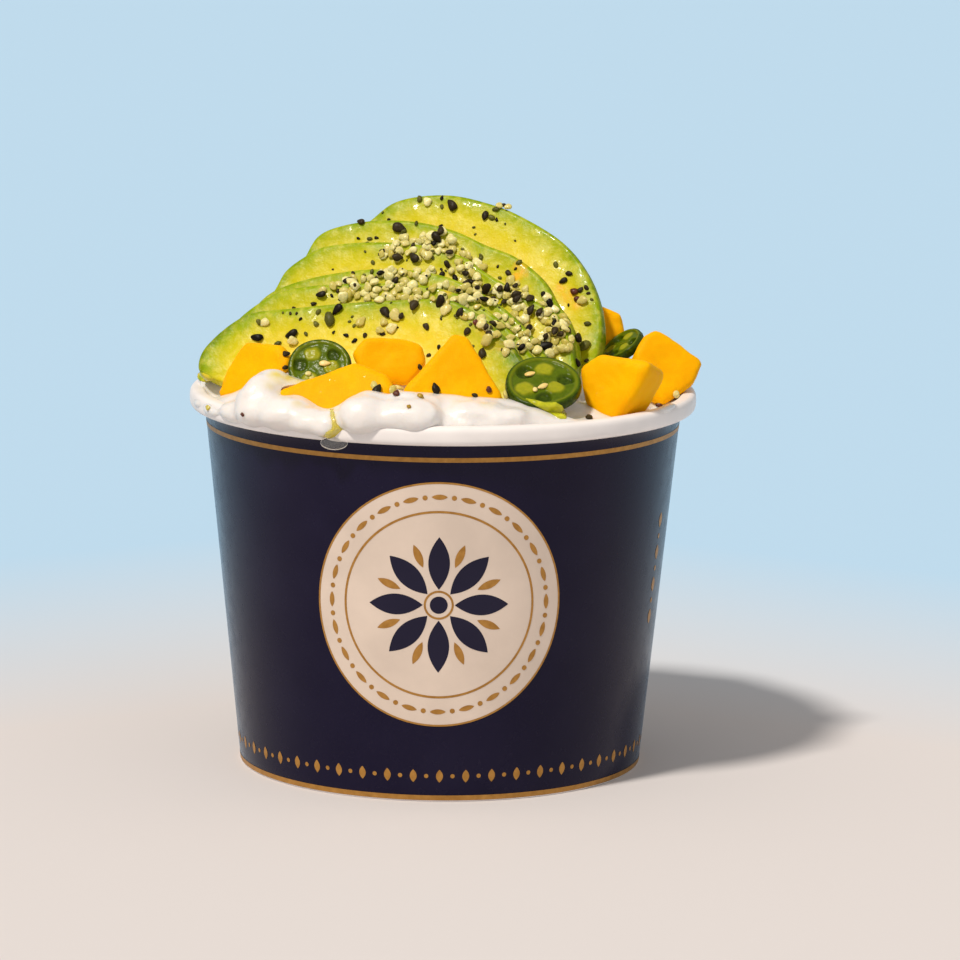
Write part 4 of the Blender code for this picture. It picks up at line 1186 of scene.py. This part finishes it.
def make_ring(number, spec, look):
    """A jalapeno ring: glossy skin, a firm wall, three seed chambers with painted shade, and pale pulp."""
    centre, yaw, lean, turn, radius, thick = spec
    across, upward, facing = leaning_axes(yaw, lean)
    spin = Matrix.Rotation(math.radians(turn), 3, facing)
    axes = np.array([tuple(spin @ across), tuple(spin @ upward), tuple(facing)])
    shares = np.concatenate((np.linspace(0.03, 0.9, 40), (RING_EDGE, 0.955, 0.975, 0.99, 1.0)))
    angles = np.arange(RING_TURNS) * 2.0 * math.pi / RING_TURNS
    share, angle = (part.reshape(-1) for part in np.meshgrid(shares, angles, indexing="ij"))
    reach = share * (1.0 + RING_LOBES * np.cos(3.0 * angle + 0.5))
    unit = np.column_stack((reach * np.cos(angle), reach * np.sin(angle)))
    flat = unit * radius
    wobble = 0.16 * smooth_noise([(x / 1.5, y / 1.5, 9.0 * number) for x, y in flat], 1.0)

    def patches(spots):
        amount = np.zeros(len(share))
        for bearing, out, size in spots:
            middle = np.array((math.cos(math.radians(bearing)), math.sin(math.radians(bearing)))) * out
            gap = np.linalg.norm(unit - middle, axis=1) / size + wobble
            amount = np.maximum(amount, np.clip(1.5 * (1.0 - gap * gap), 0.0, 1.0))
        return eased(amount)

    pulp_lobes = patches(PULP_LOBES)
    hollows = patches(PULP_HOLLOWS) * (1.0 - pulp_lobes)
    inner = eased(np.clip((WALL_SHARE - share) / 0.07, 0.0, 1.0))
    edge = np.clip((share - RING_EDGE) / (1.0 - RING_EDGE), 0.0, 1.0)
    drop = RING_ROUND * (1.0 - np.sqrt(np.maximum(0.0, 1.0 - edge ** 2)))
    ripple = relief([(x, y, 5.0 * number) for x, y in flat], RING_RELIEF)
    top = -drop - inner * thick * (0.13 - 0.08 * pulp_lobes + 0.30 * hollows) + ripple * (1.0 - edge)
    low = -thick + drop + inner * hollows * thick * 0.2
    skin = np.clip((share - 0.90) / 0.07, 0.0, 1.0)
    # Painted shade: the sunk middle is darker, its seed chambers darker still. Skin and pale lobes are real
    # colour.
    pulp = 0.50 - 0.42 * skin - inner * (0.12 + 0.26 * hollows) + 0.42 * inner * pulp_lobes
    count = len(flat)
    outer = count - RING_TURNS
    hub = np.array(((0.0, 0.0, 0.0), (0.0, 0.0, -thick)))
    bulge = np.column_stack((flat[outer:] * (1.0 + 0.12 / radius), np.full(RING_TURNS, -thick / 2.0)))
    points = np.vstack((np.column_stack((flat, top)), np.column_stack((flat, low)), hub, bulge))
    pulps = np.concatenate((pulp, pulp, (0.7, 0.7), np.zeros(RING_TURNS)))
    faces = grid_faces(len(shares), RING_TURNS)
    faces += [tuple(k + count for k in reversed(face)) for face in faces]
    middle = 2 * count + 2
    for i in range(RING_TURNS):
        j = (i + 1) % RING_TURNS
        faces.append((2 * count, i, j))
        faces.append((2 * count + 1, count + j, count + i))
        faces.append((outer + i, middle + i, middle + j, outer + j))
        faces.append((middle + i, count + outer + i, count + outer + j, middle + j))
    made = make_piece("jalapeno_ring_%d" % (number + 1), np.array(centre) + points @ axes, faces, (look,),
                      "jalapeno", pulp=pulps)
    turn_outwards(made)
    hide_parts("jalapeno_%d" % (number + 1))
    return made


def turned(first, second, degrees):
    """Two square directions, turned from the first towards the second."""
    cosine = math.cos(math.radians(degrees))
    sine = math.sin(math.radians(degrees))
    return first * cosine + second * sine, second * cosine - first * sine


def camera_frame():
    """Place, right, up and forward of the camera, in millimetres."""
    elevation = math.radians(CAMERA_ELEVATION)
    place = Vector((0.0, -CAMERA_DISTANCE * math.cos(elevation), CAMERA_DISTANCE * math.sin(elevation)))
    ahead = -place.normalized()
    right = Vector((1.0, 0.0, 0.0))
    up = right.cross(ahead)
    ahead, right = turned(ahead, right, CAMERA_PAN)
    ahead, up = turned(ahead, up, CAMERA_TILT)
    right, up = turned(right, up, CAMERA_ROLL)
    return place + Vector((0.0, 0.0, CAMERA_TARGET)), right, up, ahead


def make_camera():
    place, right, up, ahead = camera_frame()
    data = bpy.data.cameras.new("camera")
    data.sensor_width = SENSOR
    data.lens = SENSOR * CAMERA_FOCUS / PICTURE
    data.clip_start = 0.01
    data.clip_end = 20.0
    made = bpy.data.objects.new("camera", data)
    turn = Matrix((right, up, -ahead)).transposed().to_4x4()
    made.matrix_world = Matrix.Translation(place * MM) @ turn
    bpy.context.scene.collection.objects.link(made)
    bpy.context.scene.camera = made


def picture_ray(across, down):
    """Start and direction, in millimetres, of the line of sight through a pixel."""
    place, right, up, ahead = camera_frame()
    middle = PICTURE / 2.0
    direction = ahead + right * ((across - middle) / CAMERA_FOCUS) - up * ((down - middle) / CAMERA_FOCUS)
    return place, direction.normalized()


def surface_tree(items):
    """One search tree, in millimetres, over several pieces."""
    points = []
    faces = []
    for item in items:
        first = len(points)
        points += [vertex.co / MM for vertex in item.data.vertices]
        faces += [tuple(first + i for i in face.vertices) for face in item.data.polygons]
    return BVHTree.FromPolygons(points, faces)


def seen_spot(tree, across, down):
    """Where the line of sight through a pixel meets the food, or the nearest
    place to it where it passes just outside."""
    start, direction = picture_ray(across, down)
    spot, normal, _, _ = tree.ray_cast(start, direction)
    if spot is not None:
        return spot, normal
    aside = start + direction * ((FAN_ORIGIN - start).dot(direction) + 30.0)
    for _ in range(4):
        spot, normal, _, _ = tree.find_nearest(aside)
        aside = start + direction * (spot - start).dot(direction)
    return spot, normal


def seed_shape(taper, detail):
    """Unit seed, long in X and tapered along it: a ball where the taper is 0."""
    work = bmesh.new()
    bmesh.ops.create_icosphere(work, subdivisions=detail, radius=1.0)
    for vertex in work.verts:
        x, y, z = vertex.co
        narrow = 1.0 - taper * x
        vertex.co = Vector((x, y * narrow, z * narrow))
    points = np.array([tuple(vertex.co) for vertex in work.verts])
    faces = [tuple(vertex.index for vertex in face.verts) for face in work.faces]
    work.free()
    return points, faces


class SeedHeap:
    """Seeds of every kind, laid on the food and on each other."""

    def __init__(self, rng):
        self.rng = rng
        self.laid = []
        self.parts = {}

    def lay(self, spot, normal, length, kind):
        """Lays a seed on a spot, or on the seeds that already lie there."""
        half = length / 2.0
        thick = SEED_FORMS[kind][1]
        under = 0.0
        for other, reach, top in self.laid:
            gap = (spot - other).length
            if gap < 0.72 * (reach + half):
                under = max(under, top * (1.0 - gap / (reach + half)))
        centre = spot + normal * (half * thick * (1.0 - 2.0 * SEED_SUNK) + under)
        self.laid.append((spot, half, under + half * thick * 1.6))
        tilt = self.rng.uniform(-0.5, 0.5) if under > 0.1 else self.rng.uniform(-0.15, 0.15)
        roll = self.rng.uniform(-0.4, 0.4) if under > 0.1 else 0.0
        spin = self.rng.uniform(0.0, math.tau)
        turn = normal.to_track_quat("Z", "Y").to_matrix() @ Matrix.Rotation(spin, 3, "Z")
        turn = turn @ Matrix.Rotation(tilt, 3, "Y") @ Matrix.Rotation(roll, 3, "X")
        self.parts.setdefault(kind, []).append((centre, turn, half, self.rng.random()))

    def gather(self, kind, look, slot, detail):
        """Makes one piece of all the seeds of a kind."""
        width, thick, taper, uneven = SEED_FORMS[kind]
        shape, shape_faces = seed_shape(taper, detail)
        points = []
        faces = []
        tones = []
        for centre, turn, half, tone in self.parts[kind]:
            first = len(points)
            plump = 0.9 + 0.25 * tone
            stretch = np.array((half, half * width * plump, half * thick * plump))
            lumps = 1.0 + uneven * (np.sin(shape @ np.array((3.1, 2.3, 1.7)) + 40.0 * tone)
                                    + np.sin(shape @ np.array((-2.2, 3.4, 2.6)) + 90.0 * tone))
            seed = shape * lumps[:, None] * stretch
            points += list(seed @ np.array(turn.transposed()) + np.array(centre))
            faces += [tuple(first + i for i in face) for face in shape_faces]
            tones += [tone] * len(shape)
        make_piece("seeds_" + kind, points, faces, (look,), slot, tone=tones)


def scatter_seeds(tree, fan_tree, rng, looks):
    """The heap of hemp hearts with dark seeds in it, the separate seeds that the
    photograph shows, fine ones on the fan, and some on the side away from it."""
    heap = SeedHeap(rng)
    loop = np.array(HEAP, float)
    low = loop.min(axis=0)
    high = loop.max(axis=0)
    chosen = []
    for _ in range(HEAP_TRIES):
        spot = np.array((rng.uniform(low[0], high[0]), rng.uniform(low[1], high[1])))
        if not inside_loop(spot[None, :], loop)[0]:
            continue
        if any((spot[0] - x) ** 2 + (spot[1] - y) ** 2 < HEAP_GAP ** 2 for x, y in chosen):
            continue
        if noise.noise(Vector((spot[0] / HEAP_PATCH, spot[1] / HEAP_PATCH, 4.0))) < HEAP_BARE:
            continue
        chosen.append(tuple(spot))
    for across, down in chosen:
        place, normal = seen_spot(tree, across, down)
        heap.lay(place, normal, rng.uniform(*HEART_LENGTH), "cream")
    for across, down in rng.sample(chosen, len(chosen) // 4):
        place, normal = seen_spot(tree, across + rng.uniform(-2.0, 2.0), down + rng.uniform(-2.0, 2.0))
        heap.lay(place, normal, rng.uniform(*TOP_LENGTH), "cream")
    for across, down in rng.sample([spot for spot in chosen if spot[0] > HEAP_DARK_FROM], HEAP_DARK):
        place, normal = seen_spot(tree, across, down)
        heap.lay(place, normal, rng.uniform(*DARK_LENGTH), "dark")
    for across, down, length, kind in SEEN_SEEDS:
        place, normal = seen_spot(tree, across, down)
        heap.lay(place, normal, length, kind)
    for _ in range(FINE_SEEDS):
        across = rng.gauss(*FINE_ACROSS)
        down = rng.gauss(*FINE_DOWN)
        start, direction = picture_ray(across, down)
        place, normal, _, _ = fan_tree.ray_cast(start, direction)
        first = tree.ray_cast(start, direction)[0]
        if place is not None and (place - first).length < 0.01:
            heap.lay(place, normal, rng.uniform(*FINE_LENGTH), rng.choice(("dark", "olive")))
    for _ in range(BACK_SEEDS):
        start = Vector((rng.gauss(*BACK_X), rng.gauss(*BACK_Y), 2.0 * CROWN))
        place, normal, _, _ = tree.ray_cast(start, Vector((0.0, 0.0, -1.0)))
        if place is None or place.z < BACK_LOW:
            continue
        sight = camera_frame()[0] - place
        if tree.ray_cast(place + normal, sight.normalized())[0] is not None:
            length = rng.uniform(*BACK_LENGTH)
            kind = rng.choice(("dark", "cream", "cream", "olive"))
            heap.lay(place, normal, length, kind)
    for kind, (look, slot, detail) in looks.items():
        heap.gather(kind, look, slot, detail)


def write_stains(item, spots, sharpness, mottle, fruit=None):
    """Writes how stained each point is: near a marked spot, or close to fruit.
    Mottle is the size of its pattern, its middle and its swing."""
    size, middle, swing = mottle
    values = []
    for vertex in item.data.vertices:
        place = vertex.co / MM
        amount = 0.0
        if fruit is not None:
            gap = fruit.find_nearest(place, STAIN_REACH)[3]
            if gap is not None:
                amount = 0.4 * (1.0 - gap / STAIN_REACH) ** 1.5
        for centre, radius, strength in spots:
            gap = (place - centre).length / radius
            if gap < 1.0:
                amount = max(amount, strength * (1.0 - gap * gap) ** sharpness)
        if amount > 0.0:
            amount *= middle + swing * noise.noise(place / size)
        values.append(min(1.0, max(0.0, amount)))
    item.data.attributes["stain"].data.foreach_set("value", np.array(values, np.float32))


def marked(tree, stains):
    """Stains with their pixels turned into places on the food."""
    return [(seen_spot(tree, across, down)[0], radius, strength)
            for across, down, radius, strength in stains]


def make_film(name, tree, outline, thickness, look, slot):
    """A thin closed film on the food, inside an outline seen from the camera."""
    loop = np.array(outline, float)
    low = loop.min(axis=0) - FILM_STEP
    columns, rows = (np.ceil((loop.max(axis=0) - low) / FILM_STEP) + 1).astype(int)
    spots = np.array([(low[0] + FILM_STEP * i, low[1] + FILM_STEP * j)
                      for j in range(rows) for i in range(columns)])
    inside = inside_loop(spots, loop)
    share = np.clip(loop_distance(spots, loop) / FILM_EDGE, 0.0, 1.0) ** 0.6
    index = {}
    tops = []
    bottoms = []
    for k in np.nonzero(inside)[0]:
        place, normal = seen_spot(tree, *spots[k])
        index[k] = len(tops)
        tops.append(place + normal * (share[k] * thickness + 0.02))
        bottoms.append(place - normal * FILM_SUNK)
    count = len(tops)
    faces = []
    edges = set()
    for j in range(rows - 1):
        for i in range(columns - 1):
            corner = j * columns + i
            corners = (corner, corner + columns, corner + columns + 1, corner + 1)
            if not all(k in index for k in corners):
                continue
            face = [index[k] for k in corners]
            if max((tops[a] - tops[b]).length for a in face for b in face) > FILM_JUMP:
                continue
            faces.append(tuple(face))
            faces.append(tuple(k + count for k in reversed(face)))
            edges.update(zip(face, face[1:] + face[:1]))
    faces += [(b, a, a + count, b + count) for a, b in sorted(edges) if (b, a) not in edges]
    turn_outwards(make_piece(name, tops + bottoms, faces, (look,), slot))


def make_drop(look):
    ball, ball_faces = seed_shape(0.0, 4)
    centre, size = DROP
    make_piece("clear_drop", np.array(centre) + ball * np.array(size), ball_faces, (look,), "yogurt")


def make_light(name, direction, spread_degrees, strength, colour):
    """A broad far light that shines along a direction."""
    data = bpy.data.lights.new(name, "SUN")
    data.angle = math.radians(spread_degrees)
    data.energy = strength
    data.color = colour
    made = bpy.data.objects.new(name, data)
    made.rotation_euler = Vector(direction).to_track_quat("-Z", "Y").to_euler()
    bpy.context.scene.collection.objects.link(made)


def make_stage():
    """A pale floor that turns bluer away from the cup, a soft sky and two lights."""
    floor_look, tree, shader = new_material("floor_look", roughness=0.8, specular_ior_level=0.2)
    place = add_node(tree, "ShaderNodeTexCoord").outputs["Object"]
    parts = add_node(tree, "ShaderNodeSeparateXYZ", {0: place}).outputs
    aside = add_node(tree, "ShaderNodeMath", {0: parts["X"]}, operation="ABSOLUTE").outputs[0]
    back = add_node(tree, "ShaderNodeMath", {0: aside, 1: 0.6, 2: parts["Y"]}, operation="MULTIPLY_ADD")
    tone = colour_ramp(tree, spread(tree, back.outputs[0], 0.08, 0.30),
                       ((0.0, (0.69, 0.645, 0.63)), (1.0, (0.45, 0.64, 0.81))))
    tree.links.new(tone, shader.inputs["Base Color"])
    corners = [(x * FLOOR_REACH, y * FLOOR_REACH, 0.0) for x, y in ((-1, -1), (1, -1), (1, 1), (-1, 1))]
    mesh = bpy.data.meshes.new("floor")
    mesh.from_pydata(corners, [], [(0, 1, 2, 3)])
    mesh.materials.append(floor_look)
    floor = bpy.data.objects.new("floor", mesh)
    bpy.context.scene.collection.objects.link(floor)
    world = bpy.data.worlds.new("studio")
    world.use_nodes = True
    tree = world.node_tree
    way = add_node(tree, "ShaderNodeTexCoord").outputs["Generated"]
    height = add_node(tree, "ShaderNodeSeparateXYZ", {0: way}).outputs["Z"]
    sky = colour_ramp(tree, spread(tree, height, 0.0, 0.6),
                      ((0.0, (0.50, 0.68, 0.84)), (1.0, (0.92, 0.88, 0.84))))
    tree.links.new(sky, tree.nodes["Background"].inputs["Color"])
    tree.nodes["Background"].inputs["Strength"].default_value = SKY_STRENGTH
    bpy.context.scene.world = world
    make_light("key", (0.37, 0.42, -0.83), 7.0, 2.78, (1.0, 0.94, 0.865))
    make_light("fill", (-0.5, 0.7, -0.35), 60.0, 0.25, (0.96, 0.98, 1.0))
    view = bpy.context.scene.view_settings
    view.view_transform = "Standard"
    view.look = "None"
    view.exposure = 0.0
    view.gamma = 1.0


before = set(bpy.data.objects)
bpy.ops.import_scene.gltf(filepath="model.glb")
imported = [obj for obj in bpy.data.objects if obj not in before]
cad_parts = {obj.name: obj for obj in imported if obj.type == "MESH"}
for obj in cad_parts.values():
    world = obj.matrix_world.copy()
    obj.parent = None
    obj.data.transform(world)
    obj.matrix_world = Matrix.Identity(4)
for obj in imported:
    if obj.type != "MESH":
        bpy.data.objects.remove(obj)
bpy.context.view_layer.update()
make_camera()
make_stage()

make_cup(paper_material("navy_paper", (0.0045, 0.0025, 0.019), 0.24, gloss=0.16, sheen=0.3),
         paper_material("white_paper", (0.82, 0.76, 0.725), 0.45, coat=0.1))
print_cup(gold_material(), paper_material("cream_print", (0.68, 0.55, 0.45), 0.5),
          paper_material("navy_print", (0.008, 0.006, 0.024), 0.45))
avocado = avocado_material()
slices = [make_slice(number, avocado) for number in range(len(FAN_OUTLINES))]
mango = mango_material()
chunks = [make_mango(number + 1, mango) for number in range(CHUNK_COUNT)]
jalapeno = jalapeno_material()
rings = [make_ring(number, spec, jalapeno) for number, spec in enumerate(RINGS)]
fan_tree = surface_tree(slices)
yogurt = make_yogurt(yogurt_material(), surface_tree(slices + chunks), surface_tree(slices + chunks + rings))
carve(yogurt, carvers())
food_tree = surface_tree([yogurt] + slices + chunks + rings)
write_stains(yogurt, marked(food_tree, STAINS), 1.2, (1.7, 0.75, 0.6), surface_tree(chunks))
for item in slices:
    write_stains(item, marked(fan_tree, FAN_STAINS), 1.0, (0.9, 0.8, 0.8))
make_film("juice_film", food_tree, JUICE_OUTLINE, 0.35,
          juice_material("juice_look", (0.96, 0.80, 0.04), (0.99, 0.92, 0.40), 0.65), "yogurt")
make_film("green_film", food_tree, GREEN_OUTLINE, 0.5,
          juice_material("green_juice", (0.48, 0.50, 0.005), (0.80, 0.75, 0.03), 0.25), "yogurt")
make_film("green_smear", food_tree, SMEAR_OUTLINE, 0.4,
          juice_material("smear_look", (0.35, 0.42, 0.01), (0.80, 0.62, 0.03), 0.1), "yogurt")
make_drop(juice_material("drop_look", (0.97, 0.96, 0.90), (0.99, 0.98, 0.94), 0.95))
dark = seed_material("dark_seed", (0.060, 0.040, 0.014), (0.006, 0.004, 0.002), 0.42, gloss=0.12)
olive = seed_material("olive_seed", (0.17, 0.16, 0.02), (0.06, 0.06, 0.008), 0.4, gloss=0.15)
heart = seed_material("hemp_heart", (0.94, 0.85, 0.43), (0.54, 0.44, 0.075), 0.25, gloss=0.3, clearness=0.35)
scatter_seeds(food_tree, fan_tree, random.Random(11), {
    "dark": (dark, "avocado", 3),
    "olive": (olive, "avocado", 2),
    "cream": (heart, "avocado", 3),
    "pip": (seed_material("chili_pip", (0.95, 0.74, 0.32), (0.82, 0.56, 0.16), 0.35), "jalapeno", 3),
    "russet": (seed_material("russet_seed", (0.16, 0.035, 0.012), (0.07, 0.015, 0.006), 0.4), "avocado", 2),
    "amber": (seed_material("amber_crumb", (0.55, 0.35, 0.03), (0.35, 0.2, 0.01), 0.3), "avocado", 2),
})
